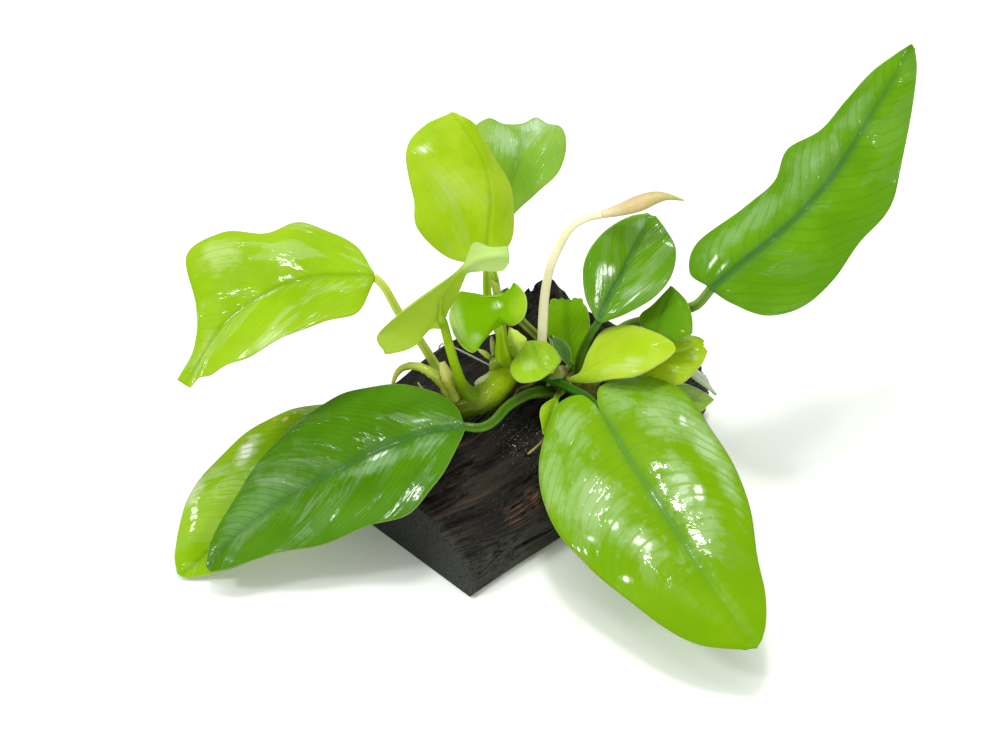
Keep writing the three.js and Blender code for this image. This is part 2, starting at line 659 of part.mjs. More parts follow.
function addPiece(name, body, colour, roughness) {
  const { vertProperties, triVerts } = body.getMesh();
  const geometry = new THREE.BufferGeometry();
  geometry.setAttribute("position", new THREE.BufferAttribute(new Float32Array(vertProperties), 3));
  geometry.setIndex(new THREE.BufferAttribute(new Uint32Array(triVerts), 1));
  geometry.computeVertexNormals();
  const mesh = new THREE.Mesh(geometry, new THREE.MeshStandardMaterial({ color: colour, roughness }));
  mesh.name = name;
  group.add(mesh);
}

const SMALL_SIDES = 6;
const woodRoom = TIE_LINE / 2 + GAP;

addPiece("driftwood", woodSolid().subtract(tieLine(woodRoom)), WET_WOOD, 0.5);
addPiece("rhizome", rhizome, STEM_GREEN, 0.3);
for (const [name, leaf] of Object.entries(LEAVES)) {
  addPiece(name, leafBody(leaf), leaf.colour, 0.25);
}

const flowerStalkRadius = (share) => (FLOWER_STALK / 2) * (0.8 + 0.25 * share);
const flowerStalk = rod(lineThrough(FLOWER_STALK_PLACES), flowerStalkRadius, SMALL_SIDES, 12);
addPiece("flower_stalk", largest(flowerStalk.subtract(rhizomeRoom)), CREAM, 0.4);
const spathe = rod(lineThrough(SPATHE_PLACES), (share) => smoothValue(SPATHE_RADII, share), 8, 8);
addPiece("flower_spathe", spathe, PEACH, 0.4);
const oldStalk = rod(lineThrough(OLD_STALK_PLACES), () => OLD_STALK / 2, SMALL_SIDES, 8);
addPiece("old_stalk", largest(oldStalk.subtract(rhizomeRoom)), DEEP_GREEN, 0.3);
for (const [name, sheath] of Object.entries(SHEATHS)) {
  addPiece(name, band(sheath), sheath.colour, 0.5);
}
for (const [name, places] of Object.entries(ROOTS)) {
  const root = rod(lineThrough(places), (share) => (ROOT / 2) * (1 - 0.5 * share), 5, 6);
  addPiece(name, largest(root.subtract(rhizomeRoom)), ROOT_BROWN, 0.7);
}
addPiece("tie_line", tieLine(TIE_LINE / 2), CLEAR_LINE, 0.1);

export default group;
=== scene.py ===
"""Golden anubias nana tied to wet driftwood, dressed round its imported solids.

Every size and place is in metres, in the frame of the solids: +Z up, the floor at z = 0, and the
viewer on the -Y side. A place read from the picture is (x, y, depth): picture x, picture y, and how
many mm past MIDDLE_DEPTH it lies along the line of sight.
"""

import logging
import math
from collections.abc import Sequence
from dataclasses import dataclass, replace
from enum import Enum

import bpy
import numpy as np
from bpy.types import Material, Node, NodeSocket, NodeTree, Object
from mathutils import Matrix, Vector


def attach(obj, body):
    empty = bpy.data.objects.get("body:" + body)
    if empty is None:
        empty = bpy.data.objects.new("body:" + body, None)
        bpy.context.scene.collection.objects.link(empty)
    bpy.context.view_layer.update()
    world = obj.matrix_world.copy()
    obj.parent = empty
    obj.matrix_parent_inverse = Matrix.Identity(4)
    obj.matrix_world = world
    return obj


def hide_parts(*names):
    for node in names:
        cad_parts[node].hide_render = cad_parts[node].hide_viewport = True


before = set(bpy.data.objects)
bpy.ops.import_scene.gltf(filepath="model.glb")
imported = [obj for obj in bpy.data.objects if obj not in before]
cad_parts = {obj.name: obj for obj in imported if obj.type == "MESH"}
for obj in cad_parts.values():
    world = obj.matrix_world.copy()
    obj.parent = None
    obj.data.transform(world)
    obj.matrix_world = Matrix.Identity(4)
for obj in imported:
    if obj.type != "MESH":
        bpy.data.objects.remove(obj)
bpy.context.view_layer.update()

MM = 0.001
BODY = "root"
LOG = logging.getLogger("anubias")

CAMERA_PLACE = (-0.005, -0.2747, 0.2574)
CAMERA_DOWN = math.radians(40)
FOCAL_LENGTH = 1944.0  # in picture points
MIDDLE_DEPTH = 350.0  # mm from the camera, measured straight ahead
PICTURE_WIDTH = 1000
PICTURE_MIDDLE = (500.0, 375.0)
SENSOR_WIDTH = 36.0
UP = (0.0, 0.0, 1.0)
WATER_SHINE = 1.5  # the index of refraction of the wet coat
# painted highlight: the near white painted where the sheen patches are strongest
PAINTED_GLINT = "eef6e4"  # where the wet skin is at its whitest
GLINT_GAIN = 1.1
STUDIO_GAIN = 1.4  # how much brighter than its own colour a surface looks in the studio

Array = np.ndarray
Place = tuple[float, float, float]
Places = Sequence[Place]
Sizes = Sequence[float]
Colour = tuple[float, float, float, float]
Grid = dict[str, Array]


def seen(places: Places) -> Array:
    """Turns picture places into places on the plant.

    Args:
        places: picture x, picture y, and the mm past MIDDLE_DEPTH along the line of sight.

    Returns:
        One row of x, y, z in metres for each place.
    """
    read = np.asarray(places, float)
    right = (read[:, 0] - PICTURE_MIDDLE[0]) / FOCAL_LENGTH
    up = (PICTURE_MIDDLE[1] - read[:, 1]) / FOCAL_LENGTH
    forward = np.array([0, math.cos(CAMERA_DOWN), -math.sin(CAMERA_DOWN)])
    upward = np.array([0, math.sin(CAMERA_DOWN), math.cos(CAMERA_DOWN)])
    rays = forward + up[:, None] * upward + right[:, None] * np.array([1.0, 0, 0])
    return np.asarray(CAMERA_PLACE) + rays * (MIDDLE_DEPTH + read[:, 2:3]) * MM


def paint(code: str, gain: float = STUDIO_GAIN) -> Colour:
    """Gives the surface colour that looks like a hex code in the bright studio.

    Args:
        code: the hex code, such as "a6cf2c".
        gain: how much brighter than its own colour the surface looks.

    Returns:
        The colour for a shader.
    """
    parts = [int(code[i:i + 2], 16) / 255 for i in (0, 2, 4)]
    linear = [p / 12.92 if p <= 0.04045 else ((p + 0.055) / 1.055) ** 2.4 for p in parts]
    return (linear[0] / gain, linear[1] / gain, linear[2] / gain, 1.0)


def unit(vectors: Array) -> Array:
    """Gives vectors of length one."""
    return vectors / np.maximum(np.linalg.norm(vectors, axis=-1, keepdims=True), 1e-12)


def curve(points: list[Array], share: Array) -> Array:
    """Reads a smooth curve through four points.

    Args:
        points: the four points, or sizes, that the curve goes by.
        share: the share of the way from the second one to the third.

    Returns:
        The place or size there.
    """
    p0, p1, p2, p3 = points
    bend = (2 * p0 - 5 * p1 + 4 * p2 - p3) * share ** 2 + (3 * p1 - p0 - 3 * p2 + p3) * share ** 3
    return 0.5 * (2 * p1 + (p2 - p0) * share + bend)


class Rail:
    """A smooth line through places, read by the share of the way along its places."""

    def __init__(self, places: Array | tuple[Sizes, ...]) -> None:
        """Keeps the places with one more beyond each end.

        Args:
            places: rows of x, y, z in metres, or of any other values that change together.
        """
        points = np.asarray(places, float)
        before = 2 * points[0] - points[1]
        after = 2 * points[-1] - points[-2]
        self.points = np.vstack([before, points, after])

    def at(self, shares: Array) -> Array:
        """Reads the line.

        Args:
            shares: shares of the way, each from 0 to 1.

        Returns:
            One row for each share.
        """
        last = len(self.points) - 3
        way = np.clip(shares, 0, 1) * last
        start = np.minimum(way.astype(int), last - 1)
        return curve([self.points[start + k] for k in range(4)], (way - start)[:, None])

    def length(self) -> float:
        """Gives the length of the line."""
        return float(np.linalg.norm(np.diff(self.at(np.linspace(0, 1, 200)), axis=0), axis=1).sum())


def measured(sizes: Sizes, shares: Array) -> Array:
    """Reads sizes that are given in mm at even steps along a piece, and gives them in metres."""
    return Rail(np.array(sizes)[:, None]).at(shares)[:, 0] * MM


def quads(*corners: Array) -> list[list[int]]:
    """Gives one face for each set of four corners."""
    return np.stack(corners, axis=-1).reshape(-1, 4).tolist()


class Wiring:
    """Adds and joins the nodes of one tree."""

    def __init__(self, tree: NodeTree) -> None:
        """Keeps the tree that is wired."""
        self.tree = tree

    def put(self, kind: str, feeds: dict | None = None, out: int | str = 0, **settings: object) -> NodeSocket:
        """Adds a node.

        Args:
            kind: the node's type name.
            feeds: what goes into its inputs, by name or number: a socket or a plain value.
            out: the output that is wanted, by name or number.
            **settings: the node's own settings.

        Returns:
            The wanted output.
        """
        node = self.tree.nodes.new(kind)
        for key, value in settings.items():
            setattr(node, key, value)
        self.feed(node, feeds or {})
        return node.outputs[out]

    def feed(self, node: Node, feeds: dict) -> None:
        """Gives a node what goes into it.

        Args:
            node: the node.
            feeds: a socket or a plain value for each input, by name or number.
        """
        for key, value in feeds.items():
            if isinstance(value, NodeSocket):
                self.tree.links.new(value, node.inputs[key])
            else:
                node.inputs[key].default_value = value

    def maths(self, operation: str, *values: object) -> NodeSocket:
        """Adds a sum of sockets or numbers."""
        return self.put("ShaderNodeMath", dict(enumerate(values)), operation=operation)

    def times(self, value: object, factor: object, *more: object) -> NodeSocket:
        """Gives a value times a factor, plus one more value where it is given."""
        return self.maths("MULTIPLY_ADD" if more else "MULTIPLY", value, factor, *more)

    def vectors(self, operation: str, *values: object, out: int | str = 0) -> NodeSocket:
        """Adds a sum of places or directions."""
        return self.put("ShaderNodeVectorMath", dict(enumerate(values)), out, operation=operation)

    def vector(self, x: object = 0.0, y: object = 0.0, z: object = 0.0) -> NodeSocket:
        """Joins three numbers into a place."""
        return self.put("ShaderNodeCombineXYZ", {0: x, 1: y, 2: z})

    def ease(self, value: object, low: float, high: float, start: float = 0.0,
             end: float = 1.0) -> NodeSocket:
        """Turns a value into another one with a soft start and end.

        Args:
            value: the value that is read.
            low: where the change starts.
            high: where the change ends.
            start: what is given at and before low.
            end: what is given at and past high.

        Returns:
            The eased value.
        """
        feeds = {0: value, 1: low, 2: high, 3: start, 4: end}
        return self.put("ShaderNodeMapRange", feeds, interpolation_type="SMOOTHSTEP")

    def noise(self, vector: object, scale: object, detail: float = 2.0, roughness: float = 0.5) -> NodeSocket:
        """Adds a cloudy pattern.

        Args:
            vector: where it is read.
            scale: how fine it is.
            detail: how many finer layers it has.
            roughness: how strong the finer layers are.

        Returns:
            Its value, about 0.5 on average.
        """
        feeds = {"Vector": vector, "Scale": scale, "Detail": detail, "Roughness": roughness}
        return self.put("ShaderNodeTexNoise", feeds, noise_dimensions="3D")


class Grower(Wiring):
    """A Geometry Nodes tree with named sizes, which ends in Realize Instances and Set Material."""

    def __init__(self, name: str, sizes: dict[str, float | int]) -> None:
        """Starts the tree.

        Args:
            name: the tree's name.
            sizes: each named size with its usual value.
        """
        super().__init__(bpy.data.node_groups.new(name, "GeometryNodeTree"))
        face = self.tree.interface
        face.new_socket(name="Geometry", in_out="INPUT", socket_type="NodeSocketGeometry")
        face.new_socket(name="Geometry", in_out="OUTPUT", socket_type="NodeSocketGeometry")
        self.keys: dict[str, str] = {}
        for label, usual in sizes.items():
            kind = "NodeSocketInt" if isinstance(usual, int) else "NodeSocketFloat"
            socket = face.new_socket(name=label, in_out="INPUT", socket_type=kind)
            socket.default_value = usual
            self.keys[label] = socket.identifier
        finish = face.new_socket(name="Finish", in_out="INPUT", socket_type="NodeSocketMaterial")
        self.keys["Finish"] = finish.identifier
        self.given = self.tree.nodes.new("NodeGroupInput").outputs

    def named(self, name: str, kind: str = "FLOAT") -> NodeSocket:
        """Reads a value kept on the mesh."""
        return self.put("GeometryNodeInputNamedAttribute", {"Name": name}, data_type=kind)

    def keep_value(self, mesh: NodeSocket, name: str, value: NodeSocket) -> NodeSocket:
        """Keeps a value on the points of a mesh, and gives the mesh."""
        feeds = {"Geometry": mesh, "Name": name, "Value": value}
        return self.put("GeometryNodeStoreNamedAttribute", feeds, data_type="FLOAT", domain="POINT")

    def along(self, direction: object, amount: object) -> NodeSocket:
        """Gives a direction times an amount."""
        return self.put("ShaderNodeVectorMath", {0: direction, "Scale": amount}, operation="SCALE")

    def end(self, geometry: NodeSocket) -> None:
        """Ends the tree: smooth faces, nothing instanced, one finish.

        Args:
            geometry: the last step of the tree.
        """
        smooth = self.put("GeometryNodeSetShadeSmooth", {"Geometry": geometry})
        real = self.put("GeometryNodeRealizeInstances", {"Geometry": smooth})
        dressed = self.put("GeometryNodeSetMaterial", {"Geometry": real, "Material": self.given["Finish"]})
        out = self.tree.nodes.new("NodeGroupOutput")
        self.tree.links.new(dressed, out.inputs[0])

    def scatter(self, ground: NodeSocket, density: object, cone: tuple[int, float], lengths: Sizes,
                length: str, way: NodeSocket | None = None) -> None:
        """Scatters pointed cones over a mesh, and ends the tree.

        Args:
            ground: the mesh that they stand on.
            density: how many there are on a square metre.
            cone: its number of sides, and its radius as a share of its length.
            lengths: the least and the greatest length, as shares of the named one.
            length: the name of the size that gives the length.
            way: where each points, or nothing where it stands up from the mesh.
        """
        seed = self.given["Seed"]
        spread = {"Mesh": ground, "Density": density, "Seed": seed}
        points = self.put("GeometryNodeDistributePointsOnFaces", spread)
        turn = points.node.outputs["Rotation"]
        if way:
            turn = self.put("FunctionNodeAlignRotationToVector", {"Vector": way}, axis="Z")
        shape = {"Vertices": cone[0], "Radius Top": 0.0, "Radius Bottom": cone[1], "Depth": 1.0}
        spike = self.put("GeometryNodeMeshCone", shape)
        draw = {"Min": lengths[0], "Max": lengths[1], "Seed": seed}
        size = self.put("FunctionNodeRandomValue", draw, 1, data_type="FLOAT")
        size = self.times(size, self.given[length])
        stand = {"Points": points, "Instance": spike, "Rotation": turn, "Scale": size}
        spikes = self.put("GeometryNodeInstanceOnPoints", stand)
        solid = self.put("GeometryNodeRealizeInstances", {"Geometry": spikes})
        both = self.tree.nodes.new("GeometryNodeJoinGeometry")
        for part in (solid, ground):
            self.tree.links.new(part, both.inputs[0])
        self.end(both.outputs[0])

    def grow(self, piece: Object, finish: Material, **sizes: float) -> Object:
        """Grows a piece into a plain mesh.

        Args:
            piece: the mesh that the tree starts from.
            finish: the material of what is grown.
            **sizes: named sizes, with _ for a space.

        Returns:
            The same object with its new mesh and no modifier.
        """
        modifier = piece.modifiers.new("growth", "NODES")
        modifier.node_group = self.tree
        modifier[self.keys["Finish"]] = finish
        for label, value in sizes.items():
            modifier[self.keys[label.replace("_", " ")]] = value
        graph = bpy.context.evaluated_depsgraph_get()
        evaluated = piece.evaluated_get(graph)
        mesh = bpy.data.meshes.new_from_object(evaluated, preserve_all_data_layers=True, depsgraph=graph)
        piece.modifiers.clear()
        piece.data = mesh
        mesh.name = piece.name
        return piece


def new_piece(name: str, points: Array, faces: list, values: Grid,
              edges: list | None = None) -> Object:
    """Makes an object from points and faces.

    Args:
        name: the piece's name.
        points: rows of x, y, z in metres.
        faces: the corners of each face.
        values: numbers or directions kept on the points, by name.
        edges: the ends of each edge, for a bare line.

    Returns:
        The object, in the scene.
    """
    mesh = bpy.data.meshes.new(name)
    mesh.from_pydata(points.tolist(), edges or [], faces)
    for key, value in values.items():
        is_vector = value.ndim == 2
        layer = mesh.attributes.new(key, "FLOAT_VECTOR" if is_vector else "FLOAT", "POINT")
        layer.data.foreach_set("vector" if is_vector else "value", value.astype(np.float32).ravel())
    piece = bpy.data.objects.new(name, mesh)
    bpy.context.scene.collection.objects.link(piece)
    return piece


def shell(upper: Array, lower: Array) -> tuple[Array, list]:
    """Closes two grids of points, one over the other, into one thin body.

    Args:
        upper: the upper face, rows by columns by x, y, z.
        lower: the lower face, with the same rows and columns.

    Returns:
        The points, upper face first, and the faces, all turned outwards.
    """
    rows, columns = upper.shape[:2]
    index = np.arange(rows * columns).reshape(rows, columns)
    under = index + rows * columns
    faces = quads(index[:-1, :-1], index[:-1, 1:], index[1:, 1:], index[1:, :-1])
    faces += quads(under[:-1, :-1], under[1:, :-1], under[1:, 1:], under[:-1, 1:])
    faces += quads(index[:-1, 0], index[1:, 0], under[1:, 0], under[:-1, 0])
    faces += quads(under[:-1, -1], under[1:, -1], index[1:, -1], index[:-1, -1])
    faces += quads(index[0, :-1], under[0, :-1], under[0, 1:], index[0, 1:])
    faces += quads(index[-1, 1:], under[-1, 1:], under[-1, :-1], index[-1, :-1])
    return np.concatenate([upper.reshape(-1, 3), lower.reshape(-1, 3)]), faces


def joined(first: Object, *others: Object) -> Object:
    """Makes several objects one.

    Args:
        first: the object that keeps its name.
        *others: the objects that go into it.

    Returns:
        The first object.
    """
    parts = [first, *others]
    with bpy.context.temp_override(active_object=first, object=first, selected_objects=parts,
                                   selected_editable_objects=parts):
        bpy.ops.object.join()
    return first


def dress(piece: Object, skin: Material) -> Object:
    """Gives a piece its material and smooth faces.

    Args:
        piece: the piece.
        skin: its material.

    Returns:
        The same piece.
    """
    piece.data.materials.append(skin)
    piece.data.polygons.foreach_set("use_smooth", [True] * len(piece.data.polygons))
    return piece


def keep(piece: Object, slot: str, *nodes: str) -> None:
    """Ties a finished piece to the plant.

    Args:
        piece: the finished piece.
        slot: the material slot that it takes its finish from; not used.
        *nodes: the solids that it stands for.
    """
    for point in piece.data.vertices:
        point.co.z = max(point.co.z, 0.0)
    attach(piece, BODY)
    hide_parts(*nodes)
    LOG.info("%s: %d faces for %s", piece.name, len(piece.data.polygons), ", ".join(nodes))


class Gloss(Wiring):
    """A material under construction: one glossy shader, and helpers that colour it."""

    def __init__(self, name: str, ground: str, wet: float, smooth: float, shine: float = 0.5,
                 gain: float = STUDIO_GAIN) -> None:
        """Starts the material.

        Args:
            name: its name.
            ground: the hex code of the colour under all others.
            wet: how much of a clear wet coat lies on it.
            smooth: the roughness of that coat.
            shine: the gloss under the coat.
            gain: how much brighter than its own colours it looks in the studio.
        """
        self.material = bpy.data.materials.new(name)
        self.material.use_nodes = True
        super().__init__(self.material.node_tree)
        self.shader = self.tree.nodes["Principled BSDF"]
        wet_coat = {"Coat Weight": wet, "Coat Roughness": smooth, "Coat IOR": WATER_SHINE}
        self.feed(self.shader, {**wet_coat, "Specular IOR Level": shine})
        self.object_place = self.put("ShaderNodeTexCoord", out="Object")
        self.gain = gain
        self.colour: object = paint(ground, gain)

    def value(self, name: str) -> NodeSocket:
        """Reads a number kept on the mesh."""
        return self.put("ShaderNodeAttribute", out="Fac", attribute_name=name)

    def blend(self, share: object, first: object, second: object) -> NodeSocket:
        """Mixes two colours or sockets, with a share of the second one."""
        return self.put("ShaderNodeMix", {0: share, 6: first, 7: second}, 2, data_type="RGBA")

    def cover(self, share: object, colour: str | NodeSocket, gain: float | None = None) -> None:
        """Lays one more colour over what is there.

        Args:
            share: how much of it shows.
            colour: a hex code, or the socket of a mixed colour.
            gain: how much brighter it looks in the studio, where that is not as usual.
        """
        if isinstance(colour, str):
            colour = paint(colour, gain or self.gain)
        self.colour = self.blend(share, self.colour, colour)

    def done(self, roughness: object, height: object, depth: float) -> Material:
        """Joins the last steps to the shader.

        Args:
            roughness: how rough the skin is under the wet coat.
            height: the fine relief.
            depth: how deep that relief is, in metres.

        Returns:
            The material.
        """
        bump = self.put("ShaderNodeBump", {"Height": height, "Distance": depth, "Strength": 1.0}, "Normal")
        last = {"Base Color": self.colour, "Roughness": roughness, "Normal": bump, "Coat Normal": bump}
        self.feed(self.shader, last)
        return self.material


@dataclass(frozen=True)
class Spot:
    """A mark on a leaf: where it is on the blade, how large, and its colour."""

    along: float
    across: float
    size: float
    colour: str


@dataclass(frozen=True)
class Patch:
    """A patch of painted sheen on a wet blade, painted near white where it is strongest: its middle, how far
    it reaches along and across, its strength.
    """

    along: float
    share: float
    reach: float
    spread: float
    strength: float = 0.6


@dataclass(frozen=True)
class Tear:
    """A torn stretch of a blade's edge."""

    right: bool
    start: float  # share of the way along the blade
    end: float
    depth: float  # share of the half blade that is gone
    tooth: float = 1.0 * MM


@dataclass(frozen=True)
class LeafFinish:
    """The look of a wet leaf. Colours are hex codes."""

    body: str
    tone: str  # what the body drifts to in cloudy patches
    edge: str
    rib: str
    vein: str
    under: str
    rim: str = "c8dc7a"
    # the colour of the painted sheen: pale patches that stand for the soft reflection of the lights on the
    # wet skin
    painted_sheen: str = "bcd894"
    rib_width: float = 0.75  # mm, half the width of the coloured midrib
    rib_strength: float = 0.8
    rib_end: float = 1.0  # share of the way along past which the midrib's colour is faint
    rib_tip: float = 0.35  # how much of it is left there
    vein_strength: float = 0.35
    edge_strength: float = 0.3
    rim_strength: float = 0.6
    gloss: float = 0.28
    film: float = 1.0  # how glossy the film of water is
    film_seed: float = 0.0
    film_from: float = 0.52  # a higher value leaves less of the blade under it
    dry_from: float = 1.2  # share of the way along past which there is no film
    vein_end: float = 1.2  # share of the way along past which the veins are faint
    vein_wander: float = 0.5
    far: str = ""  # the colour of its far end on both faces, where that is another
    far_from: float = 0.72
    relief: float = 0.22 * MM
    spots: tuple[Spot, ...] = ()

    @staticmethod
    def sheen_strength(g: Gloss, along: object, share: object, ragged: object, patches: tuple[Patch, ...]) -> object:
        """Gives how strong the painted sheen on the wet skin is.

        Args:
            g: the material under construction.
            along: the share of the way along the blade.
            share: the share of the way from the midrib to the edge.
            ragged: a pattern that breaks up the patches.
            patches: where the patches lie.

        Returns:
            The strength of the painted sheen, from 0 to 1.
        """
        strength = 0.0
        for patch in patches:
            x = g.times(along, 1 / patch.reach, -patch.along / patch.reach)
            y = g.times(share, 1 / patch.spread, -patch.share / patch.spread)
            away = g.times(ragged, 3.4, g.vectors("LENGTH", g.vector(x, y), out="Value"))
            strength = g.maths("MAXIMUM", g.ease(away, 1.9, 3.0, patch.strength, 0.0), strength)
        return strength

    def material(self, name: str, patches: tuple[Patch, ...]) -> Material:
        """Builds the leaf's material from the blade's own measures.

        Args:
            name: the material's name.
            patches: the patches of painted sheen.

        Returns:
            The material.
        """
        g = Gloss(name, self.body, wet=0.6, smooth=0.08, shine=0.03)
        vein, across, share = g.value("vein"), g.value("across"), g.value("share")
        side, along, edge = g.value("side"), g.value("along"), g.value("edge")
        cloud = g.noise(g.object_place, 90.0, 3.0, 0.6)
        fine = g.noise(g.object_place, 900.0, 2.0, 0.6)
        g.cover(g.ease(cloud, 0.35, 0.68), self.tone)
        outer = g.times(g.ease(g.maths("ABSOLUTE", share), 0.35, 1.0), self.edge_strength)
        g.cover(outer, self.edge)
        wander = g.times(cloud, self.vein_wander, vein)
        level = g.times(side, 3.0, self.film_seed)
        drawn = g.vector(g.times(wander, 0.26), g.times(across, 0.1), level)
        streaks = g.noise(g.vector(g.times(wander, 1.1), g.times(across, 0.16), level), 1.0, 3.0, 0.6)
        crinkles = g.noise(g.vector(g.times(wander, 1.6), g.times(across, 0.6), g.times(side, 3.0)), 1.0)
        film = g.times(streaks, 0.3, g.maths("SUBTRACT", g.noise(drawn, 1.0, 4.0, 0.55), 0.15))
        film = g.ease(film, self.film_from - 0.03, self.film_from + 0.03)
        film = g.times(film, g.ease(along, self.dry_from - 0.12, self.dry_from + 0.04, 1.0, 0.0))
        line = g.ease(g.maths("PINGPONG", wander, 0.5), 0.3, 0.5)
        line = g.times(line, g.ease(along, self.vein_end - 0.2, self.vein_end, 1.0, 0.25))
        hair = g.ease(g.maths("PINGPONG", g.times(wander, 4.0), 0.5), 0.3, 0.5, 0.0, 0.3)
        lines = g.times(g.maths("MAXIMUM", line, hair), self.vein_strength)
        g.cover(lines, self.vein)
        if patches:
            blotches = g.noise(g.object_place, 320.0, 4.0, 0.62)
            ragged = g.times(blotches, 0.55, g.times(streaks, 0.45))
            sheen_strength = self.sheen_strength(g, along, share, ragged, patches)
            sheen_strength = g.times(sheen_strength, g.times(line, -0.45, 1.0))
            # painted sheen: pale patches that stand for reflections on the wet skin, painted near white where
            # they are strongest
            g.cover(sheen_strength, self.painted_sheen)
            g.cover(g.ease(sheen_strength, 0.6, 1.0, 0.0, 0.75), PAINTED_GLINT, GLINT_GAIN)
        thin = g.times(along, -0.6 * self.rib_width, self.rib_width)
        beside = g.maths("DIVIDE", g.maths("ABSOLUTE", across), thin)
        fading = g.ease(along, 0.45, self.rib_end, self.rib_strength, self.rib_tip * self.rib_strength)
        core = g.times(g.ease(beside, 0.3, 1.5, 1.0, 0.0), fading)
        halo = g.times(g.ease(beside, 0.8, 3.6, 0.3, 0.0), fading)
        g.cover(g.maths("MAXIMUM", core, halo), self.rib)
        for spot in self.spots:
            dx = g.maths("SUBTRACT", along, spot.along)
            dy = g.times(g.maths("SUBTRACT", share, spot.across), 0.35)
            far = g.maths("SQRT", g.maths("ADD", g.maths("POWER", dx, 2.0), g.maths("POWER", dy, 2.0)))
            far = g.times(fine, 0.6 * spot.size, far)
            g.cover(g.ease(far, spot.size * 0.8, spot.size * 1.6, 0.9, 0.0), spot.colour)
        g.cover(g.ease(edge, 0.06, 0.26, self.rim_strength, 0.0), self.rim)
        g.cover(g.ease(side, -0.2, 0.2, 0.72, 0.0), self.under)
        if self.far:
            reached = g.times(cloud, 0.08, g.maths("SUBTRACT", along, 0.04))
            g.cover(g.ease(reached, self.far_from - 0.06, self.far_from + 0.06), self.far)
        roughness = g.ease(fine, 0.3, 0.7, self.gloss - 0.06, self.gloss + 0.1)
        g.tree.links.new(g.times(film, self.film), g.shader.inputs["Coat Weight"])
        skin = g.times(cloud, 1.5, g.times(fine, 0.02))
        skin = g.times(crinkles, 0.3, skin)
        skin = g.times(film, 0.12, skin)
        height = g.times(line, -0.05, skin)
        return g.done(roughness, height, self.relief)


@dataclass(frozen=True)
class StalkFinish:
    """The look of a leaf stalk: its face, its channel and its foot."""

    body: str
    # the darker colour of its channel: painted shade in the groove
    channel: str
    foot: str
    foot_from: float = 0.75  # share of the way down
    relief: float = 0.2 * MM

    def material(self, name: str) -> Material:
        """Builds the stalk's material.

        Args:
            name: the material's name.

        Returns:
            The material.
        """
        g = Gloss(name, self.body, wet=0.25, smooth=0.12, shine=0.04)
        along, around = g.value("along"), g.value("around")
        streak = g.noise(g.object_place, 260.0, 3.0, 0.6)
        g.cover(g.ease(streak, 0.3, 0.7, 0.0, 0.5), self.foot)
        g.cover(g.ease(along, self.foot_from, self.foot_from + 0.25, 0.0, 0.8), self.foot)
        # painted shade darkens the channel
        g.cover(g.ease(around, 0.72, 0.97, 0.0, 0.7), self.channel)
        return g.done(g.ease(streak, 0.3, 0.7, 0.25, 0.4), streak, self.relief)


